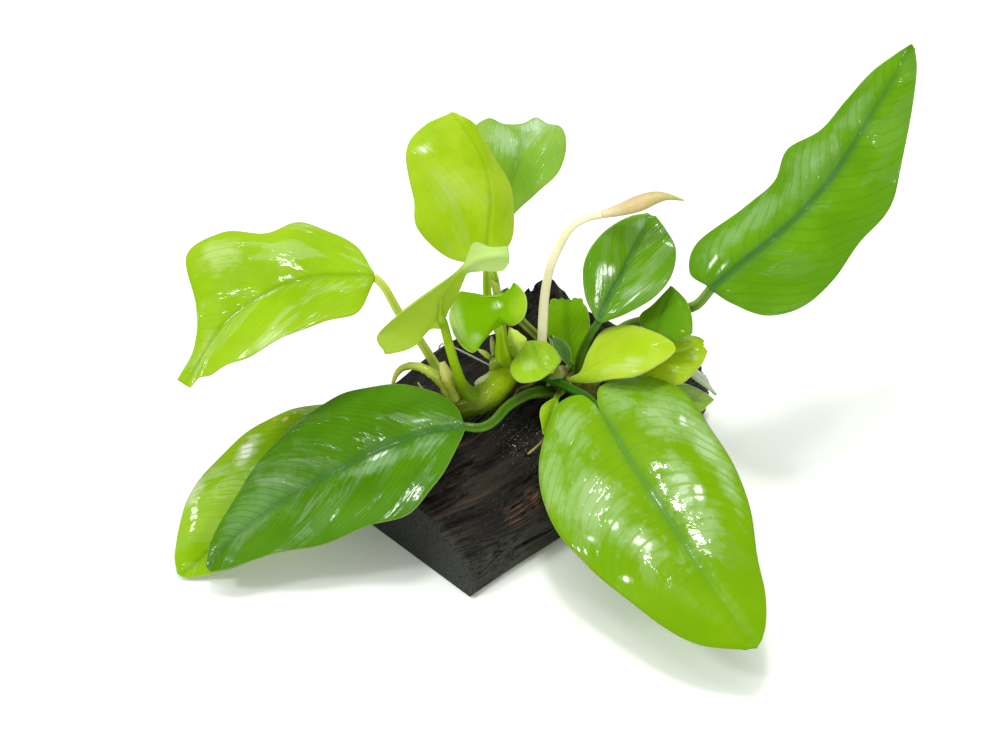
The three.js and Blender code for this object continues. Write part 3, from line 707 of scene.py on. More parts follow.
class Trees:
    """The Geometry Nodes trees that the plant's pieces share."""

    def __init__(self) -> None:
        """Builds each tree once."""
        self.relief = self.build_relief()
        self.sweep = self.build_sweep()

    @staticmethod
    def build_relief() -> Grower:
        """Builds the tree that presses the midrib and the side veins into a blade.

        Returns:
            The tree.
        """
        g = Grower("leaf_relief", {"Vein Depth": 0.00006, "Rib Depth": 0.00022, "Rib Width": 0.0007,
                                   "Quilting": 0.0001, "Seed": 3})
        vein, taper = g.named("vein"), g.named("taper")
        across = g.maths("ABSOLUTE", g.named("across"))
        place = g.put("GeometryNodeInputPosition")
        seed = g.times(g.given["Seed"], 7.31)
        cloud = g.maths("SUBTRACT", g.noise(g.vectors("ADD", place, g.vector(seed)), 140.0), 0.5)
        wander = g.times(cloud, 0.5, vein)
        pressed = g.times(g.ease(g.maths("PINGPONG", wander, 0.5), 0.3, 0.5), g.ease(cloud, -0.15, 0.12))
        lateral = g.times(pressed, g.given["Vein Depth"])
        beside = g.maths("DIVIDE", across, g.times(g.given["Rib Width"], 1000.0))
        groove = g.times(g.ease(beside, 0.0, 1.4, 1.0, 0.0), g.given["Rib Depth"])
        lift = g.times(g.times(cloud, 2.0), g.given["Quilting"])
        sunk = g.maths("SUBTRACT", g.maths("SUBTRACT", lift, lateral), groove)
        offset = g.along(g.named("facing", "FLOAT_VECTOR"), g.times(sunk, taper))
        g.end(g.put("GeometryNodeSetPosition", {"Geometry": g.given["Geometry"], "Offset": offset}))
        return g

    @staticmethod
    def build_sweep() -> Grower:
        """Builds the tree that sweeps a round or channelled section along a line.

        Returns:
            The tree.
        """
        g = Grower("sweep", {"Sides": 16, "Channel": 0.0, "Lumps": 0.0, "Lump Scale": 300.0, "Seed": 1})
        line = g.put("GeometryNodeMeshToCurve", {"Mesh": g.given["Geometry"]})
        feeds = {"Curve": line, "Normal": g.named("facing", "FLOAT_VECTOR")}
        held = g.put("GeometryNodeSetCurveNormal", feeds, mode="FREE")
        ring = g.put("GeometryNodeCurvePrimitiveCircle", {"Resolution": g.given["Sides"], "Radius": 1.0})
        place = g.put("GeometryNodeInputPosition")
        around = g.put("ShaderNodeSeparateXYZ", {0: place}, "X")
        marked = g.keep_value(ring, "around", around)
        dent = g.times(g.ease(around, 0.55, 1.0, 0.0, -1.0), g.given["Channel"])
        carved = g.put("GeometryNodeSetPosition", {"Geometry": marked, "Offset": g.along(place, dent)})
        body = g.put("GeometryNodeCurveToMesh", {"Curve": held, "Profile Curve": carved,
                                                 "Scale": g.named("radius_here"), "Fill Caps": True})
        shifted = g.vectors("ADD", place, g.vector(g.given["Seed"]))
        lumps = g.maths("SUBTRACT", g.noise(shifted, g.given["Lump Scale"], 3.0), 0.5)
        lift = g.times(g.times(lumps, 2.0), g.given["Lumps"])
        offset = g.along(g.put("GeometryNodeInputNormal"), lift)
        g.end(g.put("GeometryNodeSetPosition", {"Geometry": body, "Offset": offset}))
        return g

    def tube(self, name: str, points: Array, radii: Array, facing: object, along: Array,
             skin: Material, closed: bool = False, **sizes: float) -> Object:
        """Builds a piece with a round or channelled section along a line.

        Args:
            name: the piece's name.
            points: the line, as rows of x, y, z in metres.
            radii: its radius at each point.
            facing: where its channel faces, as one direction or one for each point.
            along: the share of the way at each point.
            skin: its material.
            closed: whether the line ends where it started.
            **sizes: named sizes of the tree.

        Returns:
            The piece.
        """
        count = len(points)
        edges = [(i, i + 1) for i in range(count - 1)] + ([(count - 1, 0)] if closed else [])
        facing = np.broadcast_to(np.asarray(facing, float), points.shape)
        values = {"radius_here": radii, "facing": facing, "along": along}
        return self.sweep.grow(new_piece(name, points, [], values, edges), skin, **sizes)


TREES = Trees()


class Hue(Enum):
    """The greens of the leaves, each with the name of a material slot."""

    GOLDEN = "golden_leaf"
    PALE = "pale_leaf"
    FRESH = "fresh_leaf"
    DEEP = "deep_green_leaf"
    BLUE = "blue_green_leaf"


GOLDEN_STALK = StalkFinish("e8f46c", "b8d648", "b0cc38")
UPPER_STALK = StalkFinish("acd830", "80a828", "98bc28")
# its dark lower part is painted shade where it meets the creeping stem
FRESH_STALK = StalkFinish("b0dc18", "80b010", "5c8404", foot_from=0.4)
GREEN_STALK = StalkFinish("6f9a2e", "4a7822", "5f8a26")
RIGHT_STALK = StalkFinish("7ea83e", "4f7e2c", "a2b84c")
DARK_STALK = StalkFinish("5a8a14", "3c6410", "4a7410")
BRIGHT_STALK = StalkFinish("3f800c", "2c5c08", "2c5a0c")
# painted light: a brighter copy of the stalk green, for stalks that lie in the shade of the leaves above
SHADE_LIFTED_STALK = StalkFinish("b4e010", "90b820", "b0d818")
OLIVE_STALK = StalkFinish("8aa63a", "6a8e28", "7b962f")

GOLDEN_LEAF = LeafFinish(
    "90bc08", "9eca16", "b0d430", "80b020", "84b80c", "a8cc34", rib_width=0.6,
    rib_strength=0.5, vein_strength=0.25, vein_wander=1.0, painted_sheen="cce490", film_from=0.54,
)
UPPER_LEAF = replace(
    GOLDEN_LEAF, body="9cc60e", tone="b2d42c", rib_strength=0.3, vein_strength=0.1, film_from=0.6,
    film_seed=2.0,
)
OUTER_LEAF = LeafFinish(
    "8cbe0a", "9ecc18", "a8d02c", "80b02a", "7eb210", "b0d050", rib_width=0.6,
    rib_strength=0.5, vein_strength=0.3, painted_sheen="e8f4cc",
    spots=(
        Spot(0.42, 0.88, 0.011, "f4e08a"), Spot(0.45, 0.95, 0.008, "e9b93c"),
        Spot(0.39, 0.93, 0.007, "f0d470"), Spot(0.54, 0.88, 0.006, "d8902c"),
        Spot(0.97, 0.45, 0.012, "5a7a30"),
    ),
)
YOUNG_LEAF = LeafFinish(
    "aed416", "bcdc34", "cde65c", "b0d83a", "aad41c", "c4e06a", rib_width=0.5,
    rib_strength=0.12, vein_strength=0.12, gloss=0.34, painted_sheen="d8ec9c", film=0.6, film_from=0.58,
)
PALE_LEAF = LeafFinish(
    "a0ca20", "aed040", "bcda58", "94c23c", "94c22c", "b2d438", far="c2e47c",
    vein_strength=0.2, gloss=0.34, painted_sheen="d0e4a0", film=0.5, film_from=0.58,
)
CUPPED_LEAF = replace(GOLDEN_LEAF, body="98c612", tone="a8d428", rib="90bc48", vein_strength=0.1, film=0.6)
WHITE_LEAF = LeafFinish(
    "e0ead4", "c0d8a0", "90b468", "d0dcc0", "a8c488", "dce8cc",
    edge_strength=0.6, rim_strength=0.3, rib_width=0.3, film=0.6,
)
# its own lime green, made a little lighter to lift the shade that the young leaf casts on it: partly painted
# light
LIME_LEAF = LeafFinish(
    "b4de10", "bce01c", "c4e040", "a4d03c", "9cc818", "a4cc48",
    rib_strength=0.15, vein_strength=0.25, film=0.9, film_from=0.5, painted_sheen="dcecb4",
)
FRESH_LEAF = LeafFinish(
    "7cb400", "84bc08", "90c41c", "80b818", "70ac08", "98c040",
    rib_strength=0.1, vein_strength=0.08, edge_strength=0.2, painted_sheen="c8e090", film=0.3, film_from=0.6,
    # a broad pale spot on one lobe: painted sheen
    spots=(Spot(0.48, 1.15, 0.28, "a8d02c"),),
)
BROAD_LEAF = LeafFinish(
    "78aa00", "80b004", "7cb41c", "60963a", "68a004", "98c050", rib_width=1.45,
    rib_strength=0.75, rib_end=0.8, rib_tip=0.12, vein_strength=0.3, rim_strength=0.3, film=0.8,
    film_from=0.55, film_seed=4.0, dry_from=0.74, vein_end=0.8, painted_sheen="aed288",
)
ROUND_LEAF = LeafFinish(
    "669e10", "72aa1a", "58942c", "44803c", "4c840e", "86b04c", rib_width=0.8,
    rim_strength=0.35, film_from=0.48, painted_sheen="b0d098",
)
CUT_LEAF = LeafFinish("68a008", "76ac14", "78ac20", "508c20", "58960e", "86b04c")
LOW_LEAF = replace(
    CUT_LEAF, body="94c03c", tone="a0c84c", rib_strength=0.4, film=0.5, painted_sheen="b4d484",
    spots=(
        Spot(0.55, -0.42, 0.025, "c8b078"), Spot(0.61, -0.22, 0.03, "c0a870"),
        Spot(0.67, -0.04, 0.025, "b8a068"),
    ),
)
TORN_LEAF = replace(
    CUT_LEAF, body="5c9406", tone="68a010", edge="7cac1c", rib="60962c", rib_strength=0.4,
    vein_strength=0.25, film=0.4, film_from=0.6,
    spots=(Spot(0.35, 0.78, 0.022, "d4c070"), Spot(0.71, 0.98, 0.018, "c8b468")),
)
# its own green made lighter to lift the shade it lies in: partly painted light
BACK_LEAF = replace(CUT_LEAF, body="82bc06", tone="82b810", edge="8cba20", rib_strength=0.3, film_from=0.7)
DEEP_LEAF = LeafFinish(
    "4c8002", "58900a", "568f24", "467a34", "3c7010", "7ca544", rib_width=1.0,
    rim_strength=0.3, film=0.9, film_from=0.55, painted_sheen="9cc48c", film_seed=7.5,
)
RIGHT_LEAF = LeafFinish(
    "5e9604", "6ca60c", "68a030", "3f7436", "4c8810", "86b04c", rib_width=1.1,
    vein_strength=0.3, vein_wander=1.2, rim_strength=0.35, film=0.7, film_from=0.56, painted_sheen="9cc480",
)
BLUE_LEAF = LeafFinish(
    "7cb026", "92bc40", "a4c860", "6ca440", "6aa426", "98b866",
    rib_strength=0.3, film=0.3, film_from=0.56, painted_sheen="c0dcac",
)
RIBBED_LEAF = LeafFinish("3c6c14", "4a7c1c", "6c9c40", "5c8c34", "a0c080", "5c8840",
                         vein_strength=0.7)


THIN_STALK = 1.3 * MM
THICK_STALK = 1.9 * MM
BROAD_STALK = 2.1 * MM


@dataclass
class Leaf:
    """One leaf: a blade held by a midrib and two edges, and the stalk that carries it.

    Left and right are as seen from above with the tip up.
    """

    node: str
    hue: Hue
    finish: LeafFinish
    stalk_finish: StalkFinish
    rib: Places
    left: Places
    right: Places
    stalk: Places
    across: float = 1.7 * MM  # how wide the stalk is
    vein_gap: float = 1.6  # mm between side veins
    vein_sweep: float = 1.1  # how far they lean to the tip
    vein_depth: float = 0.012 * MM
    rib_depth: float = 0.2 * MM
    ripple: float = 0.2 * MM
    wave: float = 9.0  # mm from one ripple of the edge to the next
    cushion: float = 0.06  # how far each half bulges, as a share of its width
    foot: float = 1.35  # how much thicker the stalk is at its foot
    tip_tear: float = 0.0  # how far a torn tip is ragged
    tears: tuple[Tear, ...] = ()
    # where the painted sheen and its near white painted highlights lie on the blade
    patches: tuple[Patch, ...] = ()
    seed: int = 1
    row_gap: float = 0.34 * MM
    most_rows: int = 190
    most_columns: int = 81
    base_half_width: float = 0.5 * MM
    tip_half_width: float = 0.1 * MM
    middle_thickness: float = 0.5 * MM
    edge_thickness: float = 0.16 * MM
    keel_reach: float = 0.8  # how far along the blade the stalk shows as a keel below it
    keel_end: float = 0.1 * MM
    vein_curl: float = 0.5
    base_sink: float = 0.6  # how deep the stalk lies below the blade's base, as a share of its radius

    def left_over(self, way: Array, u: Array, right: bool) -> Array:
        """Gives how much of one half of the blade its tears leave.

        Args:
            way: the distance from the base, for each row.
            u: the share of the way from the base.
            right: whether it is the right half.

        Returns:
            A share of the half width for each row.
        """
        left = np.ones(len(u))
        for number, tear in enumerate(self.tears):
            if tear.right is right:
                teeth = np.arange(0, way[-1] + 2 * tear.tooth, tear.tooth)
                ragged = np.random.default_rng(self.seed + number).uniform(0, 1, len(teeth))
                near = np.clip(np.minimum((u - tear.start) / 0.06, (tear.end - u) / 0.06 + 1), 0, 1)
                left -= tear.depth * near * (0.3 + 0.7 * np.interp(way, teeth, ragged))
        return left

    def blade_grid(self) -> Grid:
        """Lays out the blade's middle surface.

        Returns:
            Its places and facing directions, and the measures that the veins and colours follow.
        """
        rib, left, right = (Rail(seen(places)) for places in (self.rib, self.left, self.right))
        rows = int(np.clip(rib.length() / self.row_gap, 36, self.most_rows))
        u = np.linspace(0, 1, rows)
        middle = rib.at(u)
        edges = (left.at(u), right.at(u))
        least = self.base_half_width + (self.tip_half_width - self.base_half_width) * u
        ahead = unit(np.gradient(middle, axis=0))
        facing = unit(np.cross(edges[1] - edges[0], ahead))
        widest = max(np.linalg.norm(e - middle, axis=1).max() for e in edges)
        half = int(np.clip(widest / self.row_gap, 12, (self.most_columns - 1) // 2))
        t = np.linspace(-1, 1, 2 * half + 1)
        v = t * (0.6 + 0.4 * t * t)
        way = np.concatenate([[0], np.cumsum(np.linalg.norm(np.diff(middle, axis=0), axis=1))])
        wave = 2 * math.pi * way / (self.wave * MM)
        place = np.zeros((rows, len(v), 3))
        across = np.zeros((rows, len(v)))
        left_over = [self.left_over(way, u, right) for right in (False, True)]
        for j, share in enumerate(v):
            reach = edges[int(share > 0)] - middle
            width = np.maximum(np.linalg.norm(reach, axis=1) * left_over[int(share > 0)], least)
            reach = unit(reach) * width[:, None]
            size = abs(share)
            fold = self.cushion * width * 4 * size * (1 - size)
            beat = np.sin(wave * (1.0 if share > 0 else 0.87) + self.seed * (2 if share > 0 else 5))
            lift = fold + self.ripple * size ** 3 * beat * np.sin(math.pi * np.clip(u, 0, 1)) ** 0.7
            place[:, j] = middle + reach * size + facing * lift[:, None]
            across[:, j] = share * width / MM
        gone = np.random.default_rng(self.seed).uniform(0, self.tip_tear, 9)
        gone = np.interp(v, np.linspace(-1, 1, 9), gone)[None, :] * np.clip(u * 5 - 4, 0, 1)[:, None]
        place -= ahead[:, None] * gone[..., None]
        normal = np.cross(np.gradient(place, axis=1), np.gradient(place, axis=0))
        normal = unit(normal * 1e6 + facing[:, None] * 1e-3)
        share = np.broadcast_to(v, across.shape)
        far = np.abs(across)
        vein = (way[:, None] / MM - self.vein_sweep * far - self.vein_curl * far * share ** 2) / self.vein_gap
        ends = np.clip(np.minimum(u / 0.06, (1 - u) / 0.04), 0, 1)
        taper = ends[:, None] * np.clip((1 - np.abs(share)) / 0.05, 0.15, 1)
        rim = np.abs(across[:, -1:]) - far
        rim = np.where(share < 0, np.abs(across[:, :1]) - far, rim)
        along = np.broadcast_to(u[:, None], across.shape)
        return {"place": place, "facing": normal, "across": across, "share": share, "vein": vein,
                "taper": taper, "edge": rim, "along": along, "rib_facing": facing}

    def build_blade(self, grid: Grid, finish: Material) -> Object:
        """Builds the blade with its pressed veins.

        Args:
            grid: the middle surface.
            finish: the blade's material.

        Returns:
            The blade.
        """
        thick = self.edge_thickness + (self.middle_thickness - self.edge_thickness) * (1 - grid["share"] ** 2)
        half = grid["facing"] * (thick / 2)[..., None]
        points, faces = shell(grid["place"] + half, grid["place"] - half)
        kept = ("across", "share", "vein", "taper", "edge", "along")
        values = {key: np.tile(grid[key].ravel(), 2) for key in kept}
        values["facing"] = np.tile(grid["facing"].reshape(-1, 3), (2, 1))
        values["side"] = np.repeat([1.0, -1.0], grid["share"].size)
        piece = new_piece(self.node.removeprefix("leaf_") + "_leaf", points, faces, values)
        return TREES.relief.grow(piece, finish, Vein_Depth=self.vein_depth, Rib_Depth=self.rib_depth,
                                  Rib_Width=self.finish.rib_width * MM, Seed=self.seed)

    def build_stalk(self, grid: Grid, finish: Material) -> Object:
        """Builds the stalk, which runs on below the blade as its keel.

        Args:
            grid: the blade's middle surface.
            finish: the stalk's material.

        Returns:
            The stalk.
        """
        rows, columns = grid["share"].shape
        radius = self.across / 2
        picked = np.linspace(int((rows - 1) * self.keel_reach), 0, 26).astype(int)
        rib = grid["place"][picked, columns // 2]
        up = grid["rib_facing"][picked]
        grown = 1 - picked / picked[0]
        keel_radius = self.keel_end + (0.84 * radius - self.keel_end) * grown ** 1.6
        off_base = np.clip(picked / (0.05 * rows), 0, 1)
        sunk = keel_radius * (self.base_sink + (0.95 - self.base_sink) * off_base)
        keel = rib - up * sunk[:, None]
        line = Rail(seen(self.stalk))
        share = np.linspace(0, 1, max(12, int(line.length() / (0.9 * MM))))[1:]
        below = up[-1] * (sunk[-1] * np.clip(1 - share / 0.2, 0, 1))[:, None]
        points = np.concatenate([keel, line.at(share) - below])
        ahead = unit(np.gradient(points, axis=0))
        facing = self.carried(up, ahead)
        flare = (self.foot - 1.1) * np.clip(share * 2 - 1, 0, 1) ** 1.5
        radii = np.concatenate([keel_radius, radius * (0.85 + 0.25 * share + flare)])
        along = np.concatenate([np.zeros(len(picked)), share])
        return TREES.tube(self.node + "_stalk", points, radii, facing, along, finish, Sides=18, Channel=0.28,
                          Lumps=0.05 * MM, Seed=self.seed)

    @staticmethod
    def carried(up: Array, ahead: Array) -> Array:
        """Carries the blade's upward direction down the stalk without twisting it.

        Args:
            up: the directions along the keel, down to where the stalk meets the blade.
            ahead: the way the whole line runs, at each point.

        Returns:
            One direction for each point.
        """
        facing = list(up)
        for step in ahead[len(up):]:
            across = facing[-1] - step * np.dot(facing[-1], step)
            facing.append(across / max(np.linalg.norm(across), 1e-9))
        return np.array(facing)

    def build(self) -> None:
        """Builds and dresses the whole leaf."""
        grid = self.blade_grid()
        short = self.node.removeprefix("leaf_")
        blade = self.build_blade(grid, self.finish.material(short + "_blade_skin", self.patches))
        stalk = self.build_stalk(grid, self.stalk_finish.material(short + "_stalk_skin"))
        keep(joined(blade, stalk), self.hue.value, self.node)


FIRST_LEAF_SEED = 2
LEAVES: list[Leaf] = [
    Leaf("leaf_far_left", Hue.GOLDEN, GOLDEN_LEAF, GOLDEN_STALK, vein_gap=2.8, ripple=0.3 * MM,
         cushion=0.035,
         patches=(Patch(0.58, 0.75, 0.07, 0.2), Patch(0.38, -0.95, 0.05, 0.14),
          Patch(0.8, -0.2, 0.12, 0.4, 0.5), Patch(0.39, -0.03, 0.05, 0.06, 0.95)),
         rib=[(374.6, 277, 0), (350, 276, 0), (318, 277, 0.5), (286, 285, 0), (258, 299, -1.5),
          (236, 314, -3), (220, 330, -4.5), (207, 350, -6), (196, 369, -7.5), (184, 384, -9)],
         left=[(373, 283, 0), (357, 313, -4), (322, 322, -5.5), (285, 337, -7), (250, 356, -8.5),
          (228, 365, -9), (212, 374, -9), (202, 377, -9), (197, 380, -9), (190.2, 388, -9.5)],
         right=[(373, 271, 0), (357, 247, 3), (325, 229.5, 5), (294, 223, 6), (262, 234, 4), (222, 232, 3),
          (187, 255, 1.5), (196, 305, -2), (194, 348, -5), (177.3, 380, -8)],
         stalk=[(374.6, 277, 0), (385, 288, 0.5), (398, 311, 2.5), (418, 338, 5.5), (434, 363, 10.5),
          (446, 384, 12), (455, 400, 12)]),
    Leaf("leaf_top_front", Hue.GOLDEN, UPPER_LEAF, UPPER_STALK, vein_gap=2.4, vein_depth=0.01 * MM,
         patches=(Patch(0.66, -0.78, 0.04, 0.14, 0.9), Patch(0.45, -0.5, 0.12, 0.3, 0.2)),
         rib=[(485, 262, -1), (487, 248, -1), (489, 228, -0.5), (491, 205, 0), (489, 182, 0), (482, 158, 0),
          (470, 136, 0.5), (460, 121, 1), (452, 113, 2)],
         left=[(481, 264, -1.5), (447, 257, -3.5), (417, 228, -4), (413.5, 200, -3), (408.5, 175, -2.5),
          (405.5, 156, -2), (411, 139, -1), (427, 124, 0), (449, 114.5, 1.8)],
         right=[(489, 262, -0.5), (508, 246, 2), (514, 225, 4), (512, 192, 5), (502, 169, 4.5),
          (491, 151, 3.5), (482, 136, 2.5), (474, 123, 2), (457, 114, 2.2)],
         stalk=[(485, 262, -1), (493, 273, 0.5), (498, 300, 5.5), (501, 325, 8.8), (504, 345, 11.5),
          (507, 364, 14.5)]),
    Leaf("leaf_top_back", Hue.BLUE, BLUE_LEAF, SHADE_LIFTED_STALK, vein_gap=1.5, vein_sweep=2.2, ripple=0.3 * MM,
         patches=(Patch(0.62, -0.4, 0.14, 0.42, 0.6), Patch(0.86, 0.1, 0.2, 0.9, 0.75)),
         rib=[(494, 236, 11), (500, 216, 12), (507, 192, 13.5), (515, 168, 15), (522, 146, 16.5),
          (529, 130, 18), (536, 118, 19)],
         left=[(490, 236, 11), (480, 215, 12), (473, 188, 14), (471, 158, 16), (472, 130, 17.5),
          (488, 118, 18.5), (503, 124.5, 18.7), (521, 124, 18.8), (533, 118, 19)],
         right=[(498, 236, 11), (516, 212, 11), (538, 192, 11.5), (556, 176, 12.3), (565, 155, 14),
          (566, 138, 15.6), (560, 126, 17.4), (548, 123.5, 18.3), (539, 118.5, 19)],
         stalk=[(494, 236, 11), (488, 262, 10.5), (487.5, 295, 11), (495, 320, 13), (505, 345, 16),
          (514, 364, 18)]),
    Leaf("leaf_curled", Hue.PALE, PALE_LEAF, FRESH_STALK, across=THICK_STALK, vein_gap=2.2, foot=2.5,
         rib=[(441, 321, -7), (439.5, 316.5, -7.8), (439, 312, -8.5), (439.2, 307, -9.3), (439.5, 302, -10),
          (442, 293, -11.5), (447, 285, -13), (455, 276, -15), (464, 268, -17.5), (480, 259, -20),
          (496, 256, -21), (509, 257, -20)],
         left=[(444, 322, -6.5), (446, 317.5, -6.2), (448, 313, -6), (450, 309, -6), (452, 305, -6),
          (455, 298, -7), (459, 290, -9), (464, 281, -12), (469, 273, -15.5), (484, 271, -18.5),
          (502, 271, -19.5), (509.5, 263, -19.8)],
         right=[(440, 329, -6.8), (429, 330, -6.5), (413, 346.5, -6.4), (388, 354, -7), (383.5, 350.5, -7.3),
          (378, 336, -8.5), (404, 311, -11), (447, 279, -15), (463, 265, -18), (474, 242.5, -20),
          (491, 247, -20.5), (508.5, 246, -20)],
         stalk=[(441, 321, -7), (449, 345, -3), (455, 365, 1), (462, 384, 5.8), (471, 395, 8.5),
          (483, 399, 11)]),
    Leaf("leaf_saddle", Hue.FRESH, FRESH_LEAF, SHADE_LIFTED_STALK, vein_gap=2.2, rib_depth=0.02 * MM,
         ripple=0.05 * MM, cushion=-0.07, foot=2.1,
         patches=(Patch(0.34, -0.88, 0.14, 0.14, 0.5), Patch(0.21, -0.66, 0.05, 0.16, 0.5),
          Patch(0.44, -0.04, 0.1, 0.14, 0.9)),
         rib=[(499, 325, 2.5), (499, 317, 2), (500, 310, 2), (502, 303, 1.8), (506, 297, 1.5),
          (511, 289, 1.2), (513.5, 283, 1)],
         left=[(493, 330, 2), (482, 343, -0.5), (473, 353, -3), (459, 343, -3.2), (450, 323, -2.4),
          (450, 310, -1), (455, 296, 0), (462, 291, 0.8), (473, 296, 1.3), (488, 297.3, 1.5),
          (503, 296, 1.5), (510, 291, 1.3), (512.8, 284, 1.1)],
         right=[(505, 323.6, 2), (513, 325.8, 0), (522, 320, -1), (526, 312, -1.2), (527, 302, -1),
          (524.5, 293, 0), (519, 286, 1), (515, 283, 1.2)],
         stalk=[(499, 326, 2.5), (500, 335, 4.5), (501, 346, 7.5), (504, 367, 13)]),
    Leaf("leaf_far_right", Hue.DEEP, RIGHT_LEAF, RIGHT_STALK, across=BROAD_STALK, vein_gap=3.0,
         vein_sweep=1.0,
         patches=(Patch(0.14, -0.5, 0.04, 0.06, 0.95), Patch(0.13, -0.24, 0.04, 0.05, 0.95),
          Patch(0.3, -0.6, 0.14, 0.24, 0.45), Patch(0.5, -0.5, 0.14, 0.3, 0.4),
          Patch(0.68, -0.5, 0.1, 0.3, 0.35)),
         rib=[(711, 289, 2), (725, 277, 1), (750, 257, 0.5), (779, 234, 0), (806, 208, -0.5), (831, 179, -1),
          (853, 146, -1.5), (872, 114, -2), (892, 82, -2.5), (904, 59, -3), (912, 44, -3.5)],
         left=[(707, 286, 2), (689.5, 272, 3), (698, 242, 3.5), (745, 207, 3.5), (774, 181, 3),
          (788, 149, 3.5), (822, 129, 2), (846, 100, 1), (873, 71, -0.5), (897, 53, -2), (908, 46, -3.2)],
         right=[(714, 292, 2), (733, 304, 0), (768, 316, -2), (806, 305, -3), (834, 279, -3.5),
          (862, 240, -4), (889, 210, -4.5), (900, 172, -4.5), (911, 115, -4.5), (917, 72, -4),
          (915, 49, -3.7)],
         stalk=[(711, 289, 2), (700, 302, 4.5), (689, 308, 7), (655, 318, 11.5), (625, 327, 14.5),
          (608, 345, 17.5), (600, 368, 19.5), (598, 384, 18)]),
    Leaf("leaf_round", Hue.DEEP, ROUND_LEAF, DARK_STALK, vein_gap=1.6,
         patches=(Patch(0.87, -0.35, 0.07, 0.3, 0.5), Patch(0.4, -0.45, 0.08, 0.2),
          Patch(0.36, 0.5, 0.09, 0.24), Patch(0.46, -0.3, 0.05, 0.12, 1.0),
          Patch(0.3, 0.6, 0.12, 0.05, 0.9)),
         rib=[(598, 322, 5), (604, 308, 5), (612, 292, 5.3), (622, 274, 5.6), (632, 254, 6), (643, 233, 6.5),
          (652, 216, 7)],
         left=[(594, 316, 5), (585, 296, 4), (583, 268, 3.5), (591, 247, 3.5), (607, 229, 4.5),
          (628, 217, 6), (647, 213, 7)],
         right=[(602, 323, 4.5), (628, 313, 3), (655, 297, 2.5), (672, 275, 3), (676, 250, 4),
          (667, 231, 5.5), (656, 216, 6.8)],
         stalk=[(598, 322, 5), (588, 339, 8.5), (580, 360, 12.5), (580, 382, 17)]),
    Leaf("leaf_torn_dark", Hue.DEEP, TORN_LEAF, GREEN_STALK, across=THIN_STALK, vein_gap=1.2,
         rib=[(652, 338, 6), (655, 328, 6), (659, 317, 6.3), (664, 306, 6.6), (668, 295, 7),
          (671, 286.5, 7.5)],
         left=[(646, 331, 6.5), (639.5, 322, 7), (641, 314, 7.5), (650, 306.5, 7.5), (657, 300, 7.5),
          (664.5, 292.5, 7.5), (670, 286.5, 7.6)],
         right=[(660, 341.5, 5), (675, 341, 4), (685, 337.6, 3.6), (691.5, 334.6, 3.5), (692.7, 331, 3.6),
          (692, 317, 4.3), (687.5, 303, 5.4), (681, 294.5, 6.5), (672.5, 286.7, 7.4)],
         stalk=[(652, 338, 6), (636, 350, 9.5), (614, 368, 13), (590, 386, 15.5)]),
    Leaf("leaf_torn_pale", Hue.FRESH, LIME_LEAF, GREEN_STALK, across=THIN_STALK, vein_gap=1.6,
         rib_depth=0.05 * MM, tip_tear=0.3 * MM,
         patches=(Patch(0.87, 0.15, 0.03, 0.1, 0.9), Patch(0.74, 0.55, 0.05, 0.14, 0.6)),
         rib=[(640, 368, 10), (655, 362, 9.5), (672, 355, 9.3), (688, 350, 9.3), (704, 347, 9.6)],
         left=[(640, 362, 10.5), (657, 346, 11), (674, 337.5, 10.5), (688, 335, 10.5), (698, 336.8, 10.5),
          (704.7, 339.6, 10.3)],
         right=[(641, 374, 9.5), (655, 381, 8), (672, 385, 7), (684, 382.3, 7), (696.5, 371, 8),
          (703.5, 361.5, 9), (708.4, 350.8, 9.6)],
         stalk=[(640, 368, 10), (624, 379, 12.5), (608, 387, 14.5), (602, 391, 16)]),
    Leaf("leaf_young", Hue.GOLDEN, YOUNG_LEAF, GOLDEN_STALK, across=THIN_STALK, vein_gap=2.4,
         rib_depth=0.04 * MM, cushion=0.03,
         patches=(Patch(0.47, 0.5, 0.2, 0.28, 0.5),),
         rib=[(568, 381, 11.5), (584, 373, 8), (602, 363, 5.5), (622, 354, 4), (642, 349, 3),
          (660, 347.3, 2.7), (675.8, 348.8, 2.7)],
         left=[(568, 379, 11.7), (581, 371, 8.7), (589, 350, 7), (603, 330, 6.5), (630, 325.5, 5.5),
          (655.5, 332.3, 4.3), (667, 338, 3.5), (673.5, 343.3, 3)],
         right=[(570, 382.5, 11.2), (592, 383, 7), (612, 379.5, 3.5), (633, 377, 1.5), (649, 371, 0.9),
          (660, 364, 1.1), (669.5, 357.5, 1.6), (674.8, 352.2, 2.3)],
         stalk=[(568, 381, 11.5), (567, 382, 13.5), (566, 384, 16.5)]),
    Leaf("leaf_back_cut", Hue.DEEP, BACK_LEAF, GREEN_STALK, across=THIN_STALK, tip_tear=1.6 * MM,
         tears=(Tear(False, 0.6, 1.0, 0.2), Tear(True, 0.65, 1.0, 0.15)),
         rib=[(572, 366, 19), (569, 350, 19.5), (567, 332, 20), (566, 315, 20.5), (566, 303, 21),
          (566, 297.5, 21.3)],
         left=[(569, 365, 19), (551, 345, 20), (546, 325, 20.5), (546, 308, 21), (550, 299, 21.5),
          (556, 297, 21.5)],
         right=[(575, 365, 19), (585, 350, 19), (590, 330, 19.5), (588, 311, 20.2), (583, 298, 20.8),
          (577, 297, 21)],
         stalk=[(572, 366, 19), (572, 374, 19.3), (572, 384, 17.5)]),
    Leaf("leaf_folded", Hue.DEEP, RIBBED_LEAF, GREEN_STALK, across=THIN_STALK, vein_gap=3.0, vein_sweep=6.0,
         vein_depth=0.08 * MM,
         rib=[(570, 364, 15.5), (564, 354, 15.8), (557, 345, 16), (550, 336, 16.5)],
         left=[(568, 366, 15.5), (560, 358, 14.8), (552, 348, 15.3), (549, 338, 16.3)],
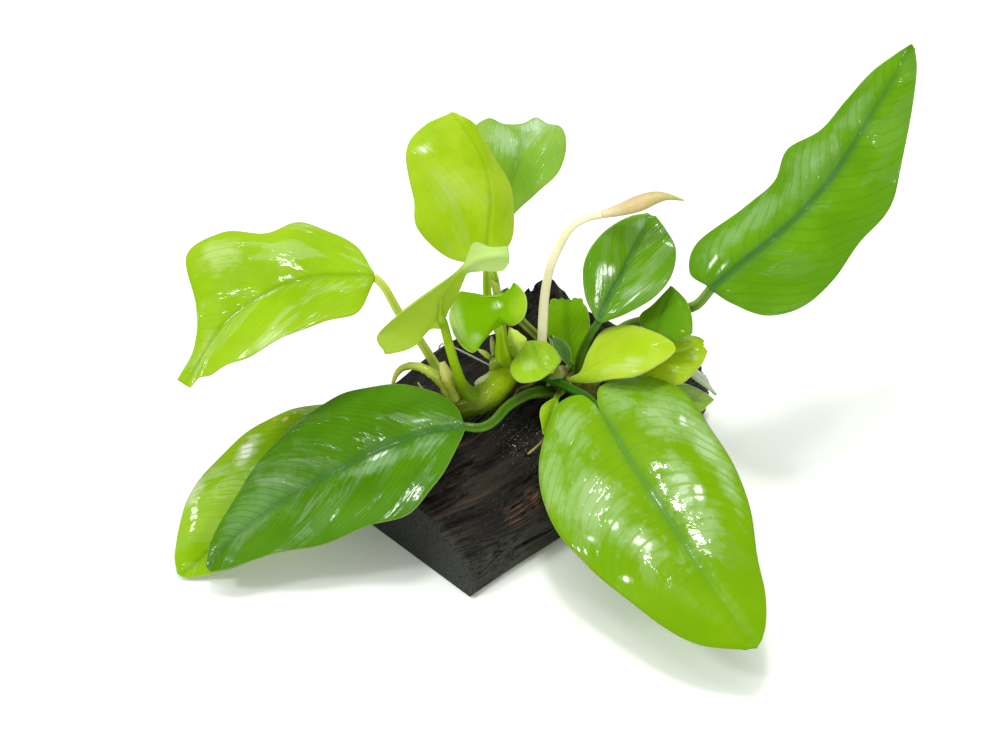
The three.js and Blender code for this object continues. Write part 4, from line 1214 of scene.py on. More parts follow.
         right=[(572, 362, 15.5), (570, 349, 16.2), (563, 340, 16.6), (552, 335, 16.7)],
         stalk=[(570, 364, 15.5), (564, 372, 15.5), (556, 380, 17)]),
    Leaf("leaf_cupped", Hue.GOLDEN, CUPPED_LEAF, GOLDEN_STALK, across=THIN_STALK,
         patches=(Patch(0.45, 0.35, 0.12, 0.3, 0.5), Patch(0.45, -0.4, 0.05, 0.1, 0.6)),
         rib=[(531, 342, 11), (534, 352, 8.5), (538, 361, 7), (544, 368, 6), (550, 371, 5.5),
          (554, 370, 5.5)],
         left=[(535, 341, 11), (547, 343, 9.5), (556, 350, 9), (561, 360, 8.5), (557, 366, 7),
          (556, 368, 5.8)],
         right=[(527, 343, 10.8), (516, 356, 7.5), (510, 370, 5.5), (519, 383, 3.8), (538, 381, 3.8),
          (550, 373, 5)],
         stalk=[(531, 342, 11), (528, 346, 13.5), (526, 366, 17)]),
    Leaf("leaf_front_left", Hue.DEEP, DEEP_LEAF, DARK_STALK, across=THICK_STALK, vein_gap=1.6,
         patches=(Patch(0.74, 0.2, 0.16, 0.6, 0.3), Patch(0.22, -0.35, 0.07, 0.22),
          Patch(0.38, -0.2, 0.1, 0.14, 0.6), Patch(0.38, -0.1, 0.06, 0.05, 0.95),
          Patch(0.23, 0.28, 0.04, 0.05, 0.95)),
         rib=[(464, 426, 0), (450, 429, 0), (428, 433, 0.5), (400, 442, 1.5), (370, 454, 2.3),
          (338, 470, 2.8), (306, 487, 2.8), (272, 509, 2), (238, 534, 0.8), (217, 557, -0.2),
          (208, 569, -0.5)],
         left=[(465, 429, -0.2), (461, 440, -2.5), (450, 461, -5), (434, 486, -6), (408, 514, -6),
          (366, 527, -4), (318, 546, -3), (272, 554, -2.5), (236, 567, -2.5), (220, 571, -1.5),
          (211, 572, -0.8)],
         right=[(463, 421, 0.2), (456, 407, 2.5), (437, 393, 5), (405, 385, 7), (369, 387, 8.5),
          (332, 399, 9), (296, 424, 8.3), (262, 457, 6), (232, 503, 3.5), (211, 541, 1.2), (206, 565, -0.2)],
         stalk=[(464, 426, 0), (481, 427.5, 0.5), (494, 421, 2), (507, 407, 5.5), (526, 395, 10.5),
          (540, 392, 13.5), (551, 391, 16)]),
    Leaf("leaf_low_left", Hue.GOLDEN, OUTER_LEAF, GOLDEN_STALK, vein_gap=2.0,
         patches=(Patch(0.54, 0.76, 0.04, 0.14, 0.95), Patch(0.71, 0.95, 0.05, 0.15)),
         rib=[(395, 440, 7), (372, 446, 7.5), (340, 457, 7.5), (305, 474, 7.5), (268, 499, 7),
          (235, 527, 6.2), (208, 553, 5.6), (192, 568, 5.3), (181, 576, 5.3)],
         left=[(396, 446, 6.5), (376, 480, 4), (345, 505, 2.8), (308, 525, 2.3), (272, 548, 2),
          (240, 566, 2.6), (215, 573, 4), (199, 576.5, 4.8), (186, 578, 5)],
         right=[(393, 434, 7.5), (370, 415, 11.5), (335, 405, 14), (300, 407.5, 14), (258, 425, 12.5),
          (217, 460, 10.5), (187, 500, 8.3), (175.2, 550, 6.5), (177, 573, 5.6)],
         stalk=[(395, 440, 7), (420, 425, 8), (440, 412, 9.5), (457, 404, 11)]),
    Leaf("leaf_front_right", Hue.FRESH, BROAD_LEAF, BRIGHT_STALK, vein_gap=2.4, vein_sweep=0.6,
         vein_depth=0.03 * MM, rib_depth=0.16 * MM,
         patches=(Patch(0.25, 0.7, 0.08, 0.2), Patch(0.42, 0.88, 0.12, 0.12),
          Patch(0.46, 0.55, 0.13, 0.26, 0.55), Patch(0.32, -0.6, 0.06, 0.24),
          Patch(0.45, -0.82, 0.16, 0.14, 0.7), Patch(0.47, -0.3, 0.08, 0.2, 0.75),
          Patch(0.57, 0.4, 0.06, 0.2, 0.7), Patch(0.16, -0.65, 0.08, 0.4, 0.35),
          Patch(0.58, -0.3, 0.04, 0.3, 0.4), Patch(0.51, -0.42, 0.03, 0.1, 1.0),
          Patch(0.58, 0.38, 0.05, 0.11, 0.9), Patch(0.57, 0.78, 0.014, 0.05, 1.0),
          Patch(0.69, 0.78, 0.013, 0.06, 1.0), Patch(0.39, -0.75, 0.025, 0.1, 0.95),
          Patch(0.52, 0.52, 0.03, 0.06, 0.9)),
         rib=[(599, 410, 2), (606, 421, 1), (615, 435, -0.5), (627, 456, -3), (645, 483, -6), (664, 512, -9),
          (683, 541, -12), (700, 568, -15), (716, 592, -17.5), (733, 616, -20), (746, 634, -21.7),
          (757, 648, -23)],
         left=[(597, 403, 3), (600, 387, 5.5), (622, 376.5, 7), (652, 377, 6.5), (684, 392, 5),
          (712, 430, 1), (736, 470, -3), (750, 508, -7), (757, 555, -12), (765, 592, -16.5), (766, 622, -20),
          (762, 640, -22.2)],
         right=[(595, 404, 3), (580, 395, 5), (560, 403, 4.5), (546, 431, 1.5), (539, 466, -2),
          (543, 500, -5.5), (557, 531, -9), (583, 562, -12), (620, 594, -15.5), (662, 626, -19),
          (700, 645, -21), (745, 650, -22.7)],
         stalk=[(599, 410, 2), (590, 399, 5.4), (576, 391, 8), (561, 384, 10.6), (550, 379, 13),
          (541, 376, 16.5)]),
    Leaf("leaf_low_right", Hue.DEEP, LOW_LEAF, GREEN_STALK, across=THIN_STALK,
         patches=(Patch(0.5, -0.3, 0.2, 0.5),),
         rib=[(664, 392, 13), (677, 395, 13), (690, 399, 13), (702, 401.5, 13.3), (713.6, 400.1, 13.8)],
         left=[(664, 386, 14), (680, 383.3, 15.3), (691, 385, 15.5), (699, 389, 15.3), (707.3, 394.5, 14.8),
          (713, 399, 14)],
         right=[(666, 398, 12), (680, 407, 10.5), (692, 413, 10.5), (702.3, 411, 11.8), (708, 405.3, 13),
          (713.2, 401, 13.7)],
         stalk=[(664, 392, 13), (640, 395, 14.5), (617, 394, 16), (609, 391, 17)]),
    Leaf("leaf_sliver", Hue.PALE, WHITE_LEAF, OLIVE_STALK, across=THIN_STALK, ripple=0.1 * MM,
         rib=[(688, 369, 16.5), (697, 375.5, 17), (706, 383.5, 17.5), (716.6, 394.6, 18)],
         left=[(689, 366.5, 17), (699, 371.5, 18.6), (707.5, 379, 18.8), (710.5, 386.5, 18.3),
          (717, 394.2, 18.1)],
         right=[(686.5, 372, 16), (693, 379.5, 15.6), (701.5, 385, 16), (708.5, 389.5, 17),
          (716.2, 395, 17.8)],
         stalk=[(688, 369, 16.5), (662, 375, 18), (632, 383, 19), (613, 389, 18)]),
    Leaf("leaf_small_curled", Hue.GOLDEN, GOLDEN_LEAF, OLIVE_STALK, across=THIN_STALK,
         rib=[(556, 399, 8), (553, 408, 6.5), (550, 418, 5.5), (547, 427, 5), (544, 435, 5)],
         left=[(558, 401, 8), (561, 409, 7.5), (557, 419, 6.5), (551, 429, 5.5), (546, 436, 5)],
         right=[(553, 398.5, 8), (543, 405, 6), (540, 414, 5), (541, 424, 4.8), (542.5, 433, 5)],
         stalk=[(556, 399, 8), (557, 396, 11), (562, 390, 15.5)]),
]


@dataclass(frozen=True)
class PlainFinish:
    """The look of a small part that drifts between two colours and takes a third at its end."""

    body: str
    tone: str
    tip: str
    tip_from: float = 0.75
    tip_reach: float = 0.12
    wet: float = 0.4
    rough: float = 0.4
    streak: float = 220.0
    gain: float = STUDIO_GAIN
    specks: str = ""  # the colour of dark specks, where it has some
    start: str = ""  # the colour it starts with, where that is another
    start_reach: float = 0.3
    relief: float = 0.12 * MM

    def material(self, name: str) -> Material:
        """Builds the material.

        Args:
            name: the material's name.

        Returns:
            The material.
        """
        g = Gloss(name, self.body, wet=self.wet, smooth=0.12, shine=0.2, gain=self.gain)
        cloud = g.noise(g.object_place, self.streak, 4.0, 0.62)
        fine = g.noise(g.object_place, self.streak * 7, 2.0, 0.6)
        g.cover(g.ease(cloud, 0.36, 0.66), self.tone)
        reached = g.times(g.maths("SUBTRACT", cloud, 0.5), 0.3, g.value("along"))
        g.cover(g.ease(reached, self.tip_from - self.tip_reach, self.tip_from + self.tip_reach), self.tip)
        if self.start:
            g.cover(g.ease(reached, 0.0, self.start_reach, 1.0, 0.0), self.start)
        if self.specks:
            speck = g.ease(g.noise(g.object_place, 1100.0, 2.0, 0.6), 0.62, 0.7, 0.0, 0.7)
            g.cover(speck, self.specks, STUDIO_GAIN)
        return g.done(g.ease(fine, 0.3, 0.7, self.rough - 0.1, self.rough + 0.1), fine, self.relief)


@dataclass(frozen=True)
class StemFinish:
    """The look of the creeping stem, green at its growing end and scarred brown at the other."""

    fresh: str = "a2c40a"
    bright: str = "c0dc34"
    ring: str = "56660f"
    shade: str = "4a640a"  # its flanks
    old: str = "66642a"
    scar: str = "3c3018"
    # the darker near end: partly its own old olive, partly painted shade
    butt: str = "44560a"  # its near end
    butt_reach: float = 0.31
    aged_from: float = 0.44
    relief: float = 0.7 * MM

    def material(self, name: str) -> Material:
        """Builds the stem's material.

        Args:
            name: the material's name.

        Returns:
            The material.
        """
        g = Gloss(name, self.fresh, wet=0.25, smooth=0.1, shine=0.04)
        along = g.value("along")
        cloud = g.noise(g.object_place, 220.0, 4.0, 0.62)
        g.cover(g.ease(cloud, 0.42, 0.72), self.bright)
        g.cover(g.ease(g.value("around"), -0.55, 0.65, 0.92, 0.0), self.shade)
        # the darker near end: partly painted shade
        g.cover(g.ease(along, 0.4 * self.butt_reach, self.butt_reach, 0.85, 0.0), self.butt)
        wander = g.times(cloud, 0.06, along)
        rings = g.ease(g.maths("PINGPONG", g.times(wander, 9.0), 0.5), 0.43, 0.49, 0.0, 0.75)
        rings = g.times(rings, g.ease(along, self.aged_from - 0.06, self.aged_from))
        g.cover(rings, self.ring)
        aged = g.blend(g.ease(cloud, 0.42, 0.62), paint(self.old), paint(self.scar))
        g.cover(g.ease(wander, self.aged_from, self.aged_from + 0.14), aged)
        return g.done(g.ease(cloud, 0.3, 0.7, 0.2, 0.4), cloud, self.relief)


@dataclass(frozen=True)
class Remnant:
    """A small thing that stands on the stem: its line, its radii in mm and its look."""

    places: Places
    radii: Sizes
    finish: PlainFinish


LIP_SKIN = PlainFinish("ecf2b0", "dce88c", "c4d458", wet=0.5, rough=0.35, gain=1.8)
BUD_SKIN = PlainFinish("809e16", "9cba28", "4c3c16", tip_from=0.62, wet=0.5, specks="241a10")
SPIKE_SKIN = PlainFinish("b0cc34", "c0d850", "d0dc70", wet=0.5)
HUSK_SKIN = PlainFinish("c0cc74", "a8bc50", "a89058", wet=0.4, specks="6a4c20")
STUB_SKIN = PlainFinish("84a038", "9cb054", "6e4a28", tip_from=0.8, wet=0.4, specks="6a4c20")
REMNANTS: list[Remnant] = [
    Remnant(((475, 386, 10), (478, 382.5, 10), (483, 379.5, 10.2), (489, 376, 10.8), (496, 371, 12)),
            (0.2, 0.55, 0.65, 0.6, 0.4), LIP_SKIN),
    Remnant(((499, 373, 12.3), (498, 366, 11.4), (497.5, 360, 11.6), (498, 354, 12.4)),
            (1.8, 1.7, 1.4, 0.8), BUD_SKIN),
    Remnant(((492, 359, 12.4), (485, 354, 11.8), (477, 349, 11.2)), (0.5, 0.55, 0.12), SPIKE_SKIN),
    Remnant(((496, 357, 11.4), (493, 347, 10.2), (491.5, 336, 9.6)), (0.8, 0.55, 0.2), HUSK_SKIN),
    Remnant(((546, 381, 14.5), (552, 377, 12.8), (559, 373, 12), (566.5, 369, 12.3)), (1.3, 1.5, 1.4, 1.0),
            STUB_SKIN),
]


@dataclass
class Rhizome:
    """The creeping stem that the stalks rise from, fat and smooth where it grows."""

    places: Places = (
        (450, 408, 11), (468, 404, 10), (487, 395, 10.5), (500, 381, 12.5), (510, 370, 15),
        (530, 372, 17), (560, 381, 16.5), (594, 387, 16.5), (617, 391, 17),
    )
    radii: Sizes = (2.2, 2.5, 2.75, 2.85, 2.4, 2.3, 2.2, 2.1, 1.9)  # mm
    rings: int = 9
    ring_depth: float = 0.16 * MM
    ringed_from: float = 0.45
    finish: StemFinish = StemFinish()

    def build(self) -> None:
        """Builds the stem with the rings and remnants that old leaves left on it."""
        share = np.linspace(0, 1, 150)
        radius = measured(self.radii, share)
        ends = np.minimum(1, 0.3 + 3.2 * np.sqrt(np.clip(np.minimum(share, 1 - share), 0, 1)))
        aged = np.clip((share - self.ringed_from) * 10, 0, 1)
        rings = aged * self.ring_depth * (1.5 * np.abs(np.cos(share * self.rings * math.pi)) ** 8 - 0.5)
        line, skin = Rail(seen(self.places)).at(share), self.finish.material("stem_skin")
        stem = TREES.tube("creeping_stem", line, radius * ends - rings, UP, share, skin, Sides=40,
                          Lumps=0.22 * MM, Lump_Scale=200.0, Seed=4)
        remnants = [self.remnant(number, thing) for number, thing in enumerate(REMNANTS)]
        keep(joined(stem, *remnants), "green_rhizome", "rhizome")

    @staticmethod
    def remnant(number: int, thing: Remnant) -> Object:
        """Builds one small thing that stands on the stem.

        Args:
            number: which one it is.
            thing: its line, radii and look.

        Returns:
            The thing, not yet tied to the plant.
        """
        share = np.linspace(0, 1, 40)
        round_off = np.sqrt(np.clip(np.minimum(share * 12, (1 - share) * 12 + 0.05), 0, 1))
        name = f"remnant_{number}"
        return TREES.tube(name, Rail(seen(thing.places)).at(share), measured(thing.radii, share) * round_off,
                          (0.0, -0.4, 1.0), share, thing.finish.material(name + "_skin"), Sides=18,
                          Lumps=0.16 * MM, Lump_Scale=500.0, Seed=30 + number)


@dataclass
class OldStalk:
    """The channelled stalk of an older leaf that is gone."""

    places: Places = (
        (504, 289, 13.5), (519, 317.5, 15.5), (536, 335, 17), (547, 348, 17.4), (553, 360, 18),
        (556, 371, 17.5),
    )
    width: float = 1.8 * MM
    channel: float = 0.45
    finish: StalkFinish = StalkFinish("90a844", "4a3414", "5c8a20")

    def build(self) -> None:
        """Builds and dresses the old stalk."""
        share = np.linspace(0, 1, 80)
        points = Rail(seen(self.places)).at(share)
        stalk = TREES.tube("old_channelled_stalk", points, self.width / 2 * (0.9 + 0.1 * share),
                           unit(np.asarray(CAMERA_PLACE) - points), share,
                           self.finish.material("old_stalk_skin"), Sides=24, Channel=self.channel,
                           Lumps=0.05 * MM, Seed=9)
        keep(stalk, "deep_green_leaf", "old_stalk")


@dataclass(frozen=True)
class WoodFinish:
    """The look of the wet driftwood."""

    dark: str = "100f0c"
    brown: str = "3a332a"
    warm: str = "8c644a"
    sawn: str = "484c48"
    dust: str = "6e665a"
    worn: str = "5e5e54"  # where it is smooth: near its sawn end and low on its sides
    # specks: near white specks about one place on the top, painted wet glints
    specks: str = "d0d2cc"
    grain: tuple[Sizes, ...] = (
        (0.035, 0.3, 5.0, 0.6), (0.1, 2.6, 4.0, 0.62), (0.05, 0.5, 2.0, 0.5),
    )  # how fine each pattern is along and across the fibres, its finer layers and their strength
    warm_places: Places = (
        (514, 516, 4.2), (524, 507, 5.6), (534, 499, 7), (424, 522, 1.9), (431, 528, 1.3),
    )
    warm_reach: float = 2.6 * MM
    glint_place: Place = (521, 440, 11)
    glint_reach: float = 6.5 * MM
    relief: float = 0.4 * MM

    @staticmethod
    def near(g: Gloss, place: Place, reach: float) -> NodeSocket:
        """Gives how near the surface is to a place.

        Args:
            g: the material under construction.
            place: the place in the picture.
            reach: how far it reaches, in metres.

        Returns:
            One at the place, and nothing past its reach.
        """
        away = g.vectors("DISTANCE", g.object_place, tuple(seen([place])[0]), out="Value")
        return g.ease(away, 0.3 * reach, reach, 1.0, 0.0)

    def material(self, name: str) -> Material:
        """Builds the wood's material along its fibres.

        Args:
            name: the material's name.

        Returns:
            The material.
        """
        g = Gloss(name, self.dark, wet=0.2, smooth=0.2, shine=0.05)
        fibre = g.put("ShaderNodeAttribute", out="Vector", attribute_name="fibre")
        along = g.value("along")
        drawn = []
        for long, short, *layers in self.grain:
            stretched = g.put("ShaderNodeMapping", {"Vector": fibre, "Scale": (long, short, short)})
            drawn.append(g.noise(stretched, 1.0, *layers))
        coarse, fine, warmth = drawn
        dust = g.noise(g.object_place, 2600.0, 2.0, 0.7)
        g.cover(g.ease(coarse, 0.42, 0.66), self.brown)
        g.cover(g.ease(fine, 0.46, 0.72, 0.0, 0.6), self.brown)
        g.cover(g.ease(fine, 0.3, 0.44, 0.8, 0.0), self.dark)
        near = 0.0
        for place in self.warm_places:
            near = g.maths("MAXIMUM", self.near(g, place, self.warm_reach), near)
        warm = g.times(g.ease(warmth, 0.6, 0.74), g.ease(fine, 0.42, 0.62, 0.0, 0.5))
        warm = g.maths("MAXIMUM", warm, g.times(near, g.ease(fine, 0.46, 0.62, 0.1, 0.95)))
        g.cover(g.times(warm, 0.7), self.warm)
        up = g.put("ShaderNodeSeparateXYZ", {0: g.object_place}, 2)
        worn = g.maths("MAXIMUM", g.ease(along, 0.01, 0.026, 0.36, 0.0), g.ease(up, 0.006, 0.011, 0.45, 0.0))
        g.cover(g.times(worn, g.ease(fine, 0.36, 0.6)), self.worn)
        g.cover(g.ease(dust, 0.64, 0.72, 0.0, 0.5), self.dust)
        # painted highlight: near white specks that stand for wet glints
        speck = g.times(g.ease(dust, 0.64, 0.67), self.near(g, self.glint_place, self.glint_reach))
        g.cover(speck, self.specks)
        end = g.blend(g.ease(fine, 0.35, 0.65), paint(self.dark), paint(self.sawn))
        g.cover(g.ease(along, 0.002, 0.006, 0.8, 0.0), end)
        # painted shade: the cracks and the split are darkened
        g.cover(g.ease(g.value("crack"), 0.1, 0.8, 0.0, 0.9), self.dark)
        return g.done(g.ease(fine, 0.3, 0.7, 0.34, 0.62), fine, self.relief)


SPLIT_HEIGHT = 5.3 * MM  # at x = 0
SPLIT_FALL = 0.147  # how far it falls for each mm to the right
SPLIT_START = -1.5 * MM


@dataclass
class Driftwood:
    """The dark chunk of driftwood, sawn at its near left end and broken at its back.

    Its plan is two lines at floor level, x and y in mm from the sawn end to the far end, and its
    height in mm is given at five places between them from front to back.
    """

    front: tuple[Sizes, ...] = (
        (-10.5, -30.5), (-2.5, -23), (6, -15.5), (15, -7), (24, 2), (31, 11), (36, 20),
    )
    rear: tuple[Sizes, ...] = (
        (-37, -4), (-27, 8), (-16, 19.5), (-6, 23.5), (5, 28), (17, 27), (28, 29),
    )
    heights: tuple[Sizes, ...] = (
        (7.5, 12.5, 15, 15.4, 13.6), (8, 14.5, 17, 17.4, 16.1), (8.5, 15.5, 17.5, 17.8, 17.6),
        (9, 15.5, 17.5, 18, 18.2), (9, 15.5, 17, 18.5, 22), (9, 14, 16, 17, 18), (9, 12, 13, 12, 9),
    )
    knob_place: tuple[float, float] = (3, 25)
    knob_reach: float = 7.5
    knob_height: float = 8
    knob_break: float = 5.4  # mm; the stub is broken off ragged about this high
    bulge: float = 0.9
    cells: tuple[int, int, int] = (150, 180, 36)
    sides: tuple[tuple[int, float, bool], ...] = (
        (2, 1.0, False), (2, 0.0, True), (1, 0.0, False), (1, 1.0, True), (0, 0.0, True), (0, 1.0, False),
    )  # across which of along, back and up each side lies, at which end, and whether its faces are turned
    finish: WoodFinish = WoodFinish()

    def plan(self, along: Array, back: Array) -> Array:
        """Gives x and y in mm at shares of the way along the wood and from front to back."""
        near, far = Rail(self.front).at(along), Rail(self.rear).at(along)
        return near + (far - near) * back[:, None]

    def height(self, along: Array, back: Array) -> Array:
        """Gives the height in mm of the top.

        Args:
            along: shares of the way from the sawn end.
            back: shares of the way from the front.

        Returns:
            The heights.
        """
        rows = Rail(self.heights).at(along)
        way = np.clip(back, 0, 1) * 4
        start = np.minimum(way.astype(int), 3)
        padded = np.hstack([2 * rows[:, :1] - rows[:, 1:2], rows, 2 * rows[:, -1:] - rows[:, -2:-1]])
        beside = [np.take_along_axis(padded, (start + k)[:, None], 1)[:, 0] for k in range(4)]
        top = curve(beside, way - start)
        x, y = self.plan(along, back).T
        from_knob = np.hypot(x - self.knob_place[0], y - self.knob_place[1]) / self.knob_reach
        knob = self.knob_height * np.clip(1 - from_knob ** 2, 0, 1) ** 1.5
        broken = self.knob_break + 0.5 * np.sin(x * 2.1 + y) + 0.35 * np.sin(x * 5.3 - y * 1.7)
        knob = np.minimum(knob, broken)
        grain = 0.45 * np.sin(back * 31 + 2.5 * np.sin(along * 5)) * np.sin(along * 9 + 1 + back * 4)
        return top + knob + grain

    def places(self, along: Array, back: Array, up: Array) -> Array:
        """Gives places in the body of the wood.

        Args:
            along: shares of the way from the sawn end.
            back: shares of the way from the front.
            up: shares of the way from the floor to the top.

        Returns:
            Rows of x, y, z in mm.
        """
        flat = self.plan(along, back)
        middle = self.plan(along, np.full_like(back, 0.5))
        outward = flat - middle
        side = np.clip((np.abs(back - 0.5) - 0.4) / 0.1, 0, 1)
        push = self.bulge * 4 * up * (1 - up) * side / np.maximum(np.linalg.norm(outward, axis=1), 1)
        flat = flat + outward * push[:, None]
        return np.column_stack([flat, up * self.height(along, back)])

    def body(self) -> Object:
        """Builds the smooth body: six grids that meet at the edges.

        Returns:
            The body, with the fibre measures that the grain follows.
        """
        shares, faces, start = [], [], 0
        for axis, end, turned in self.sides:
            steps = [np.linspace(0, 1, count + 1) for count in self.cells]
            steps[axis] = np.array([end])
            grid = np.meshgrid(*steps, indexing="ij")
            index = np.arange(start, start + grid[0].size).reshape(np.delete(grid[0].shape, axis))
            corners = [index[:-1, :-1], index[1:, :-1], index[1:, 1:], index[:-1, 1:]]
            faces += quads(*(corners[::-1] if turned else corners))
            shares.append(np.column_stack([share.ravel() for share in grid]))
            start += index.size
        share = np.concatenate(shares)
        keys = np.round(share * 1e6).astype(np.int64)
        _, first, back_to = np.unique(keys, axis=0, return_index=True, return_inverse=True)
        share = share[first]
        faces = [tuple(back_to.ravel()[corner] for corner in quad) for quad in faces]
        along, back, up = share.T
        place = self.places(along, back, up)
        before, after = (np.clip(along + step, 0, 1) for step in (-0.004, 0.004))
        ahead = unit(self.places(after, back, up) - self.places(before, back, up))
        fibre = np.column_stack([along * 72, back * 38 + 3 * np.sin(along * 7), place[:, 2]])
        values = {"along": along, "back": back, "fibre": fibre, "grain_way": ahead}
        return new_piece("wet_driftwood", place * MM, faces, values)

    @staticmethod
    def split(g: Grower, place: object, height: object) -> NodeSocket:
        """Gives the long split low on the near side of the wood.

        Args:
            g: the tree under construction.
            place: the place on the wood.
            height: its height.

        Returns:
            How open the split is, from 0 to 1.
        """
        x = g.put("ShaderNodeSeparateXYZ", {0: place}, "X")
        off = g.maths("ABSOLUTE", g.times(x, SPLIT_FALL, g.maths("SUBTRACT", height, SPLIT_HEIGHT)))
        beside = g.maths("ADD", off, g.ease(g.named("back"), 0.004, 0.03, 0.0, 0.01))
        start = g.ease(x, SPLIT_START - 1.5 * MM, SPLIT_START)
        return g.times(g.ease(beside, 0.1 * MM, 0.42 * MM, 1.0, 0.0), start)

    @staticmethod
    def grain_tree() -> Grower:
        """Builds the tree that raises the grain, opens the cracks and scatters the splinters.

        Returns:
            The tree.
        """
        g = Grower("wood_grain", {"Ridge Depth": 0.0008, "Fibre Depth": 0.0003, "Crack Depth": 0.0009,
                                  "Splinter Density": 90000.0, "Splinter Length": 0.0014, "Seed": 5})
        fibre = g.named("fibre", "FLOAT_VECTOR")
        place = g.put("GeometryNodeInputPosition")
        height = g.put("ShaderNodeSeparateXYZ", {0: place}, "Z")

        def layer(along: float, across: float, detail: float) -> NodeSocket:
            """Reads a pattern drawn out along the fibres."""
            drawn = g.vectors("MULTIPLY", fibre, (along, across, across))
            return g.noise(g.vectors("ADD", drawn, g.vector(0.0, g.given["Seed"])), 1.0, detail)

        ridges = g.maths("SUBTRACT", layer(0.025, 0.3, 2.0), 0.5)
        fibres = g.maths("SUBTRACT", layer(0.04, 1.0, 1.0), 0.5)
        near_crack = g.maths("ABSOLUTE", g.maths("SUBTRACT", layer(0.022, 0.42, 1.0), 0.46))
        crack = g.ease(near_crack, 0.0, 0.014, 0.8, 0.0)
        crack = g.maths("MAXIMUM", crack, Driftwood.split(g, place, height))
        opened = g.keep_value(g.given["Geometry"], "crack", crack)
        lift = g.times(ridges, g.times(g.given["Ridge Depth"], 2.0))
        lift = g.times(fibres, g.times(g.given["Fibre Depth"], 2.0), lift)
        lift = g.maths("SUBTRACT", lift, g.times(crack, g.given["Crack Depth"]))
        clear = g.times(g.ease(height, 0.0, 0.0012), g.ease(g.named("along"), 0.0, 0.025, 0.15, 1.0))
        offset = g.along(g.put("GeometryNodeInputNormal"), g.times(lift, clear))
        carved = g.put("GeometryNodeSetPosition", {"Geometry": opened, "Offset": offset})
        rough = g.ease(layer(0.09, 0.3, 2.0), 0.5, 0.68)
        rough = g.times(rough, g.ease(g.named("along"), 0.05, 0.1))
        density = g.times(g.times(rough, g.ease(height, 0.004, 0.006)), g.given["Splinter Density"])
        way = g.named("grain_way", "FLOAT_VECTOR")
        g.scatter(carved, density, (5, 0.09), (0.4, 1.4), "Splinter Length", way)
        return g

    def build(self) -> None:
        """Builds and dresses the wood."""
        wood = self.body()
        self.grain_tree().grow(wood, self.finish.material("wet_wood"))
        keep(wood, "wet_driftwood", "driftwood")


@dataclass
class Flower:
    """The flower: a cream stalk and the rolled spathe at its end."""

    stalk_places: Places = (
        (602.5, 214.5, 2), (587, 218, 3), (571, 228, 4.5), (559, 247, 6), (549, 272, 8),
        (544, 303, 11), (542, 341, 14), (540, 370, 16.5),
    )
    spathe_places: Places = (
        (602.2, 214.5, 1.95), (620, 210, 1), (638, 204, 0.3), (655, 198, -0.5), (668, 196.8, -1),
        (684, 200.3, -1.5),
    )
    spathe_radii: Sizes = (0.74, 1.15, 1.5, 1.2, 0.65, 0.15)  # mm
    stalk_width: float = 1.8 * MM
    sides: int = 36
    rings: int = 70
    facing: Place = (0.0, -0.3, 1.0)  # the side that its upper faces turn to
    overlap: float = 0.16  # how far the outer edge of the roll stands out, as a share of its radius
    start_turn: float = 2.2  # where the roll's edge is, in radians
    twist: float = 0.9  # how far it turns from foot to tip
    flatness: float = 0.88
    stalk_finish: PlainFinish = PlainFinish("f3ebc6", "eae2b0", "d8dc96", tip_from=0.92, wet=0.3,
                                            gain=1.08)
    spathe_finish: PlainFinish = PlainFinish("dfbf8c", "d0c082", "b0b458", tip_from=0.66,
                                             tip_reach=0.3, wet=0.3, streak=300.0, gain=1.25, start="e8dcb4")

    def build_stalk(self) -> None:
        """Builds the stalk."""
        share = np.linspace(0, 1, 90)
        stalk = TREES.tube("cream_flower_stalk", Rail(seen(self.stalk_places)).at(share),
                           self.stalk_width / 2 * (0.8 + 0.25 * share), self.facing, share,
                           self.stalk_finish.material("cream_stalk"), Sides=24, Lumps=0.04 * MM, Seed=8)
        keep(stalk, "cream_flower", "flower_stalk")

    def build_spathe(self) -> None:
        """Builds the spathe, rolled round the spadix with one edge over the other."""
        share = np.linspace(0, 1, self.rings)
        middle = Rail(seen(self.spathe_places)).at(share)
        radii = measured(self.spathe_radii, share)
        ahead = unit(np.gradient(middle, axis=0))
        facing = np.array(self.facing)
        upward = unit(facing - ahead * (ahead @ facing)[:, None])
        aside = np.cross(ahead, upward)
        angle = np.linspace(0, 2 * math.pi, self.sides, endpoint=False)
        roll = 1 + self.overlap * (1 - angle / (2 * math.pi)) - 0.5 * self.overlap
        turn = angle[None, :] + self.twist * share[:, None] + self.start_turn
        size = (radii[:, None] * roll[None, :])[..., None]
        wide, high = np.cos(turn)[..., None], self.flatness * np.sin(turn)[..., None]
        points = middle[:, None] + (aside[:, None] * wide * size + upward[:, None] * high * size)
        index = np.arange(self.rings * self.sides).reshape(self.rings, self.sides)
        after = np.roll(index, -1, axis=1)
        faces = quads(index[:-1], after[:-1], after[1:], index[1:])
        faces += [index[0, ::-1].tolist(), index[-1].tolist()]
        values = {"along": np.repeat(share, self.sides)}
        spathe = new_piece("peach_spathe", points.reshape(-1, 3), faces, values)
        dress(spathe, self.spathe_finish.material("peach_spathe_skin"))
        keep(spathe, "peach_flower", "flower_spathe")


class SheathKind(Enum):
    """The two states of a sheath, each with the name of a material slot."""

    DRY = "dry_sheath"
    BROWN = "brown_root"


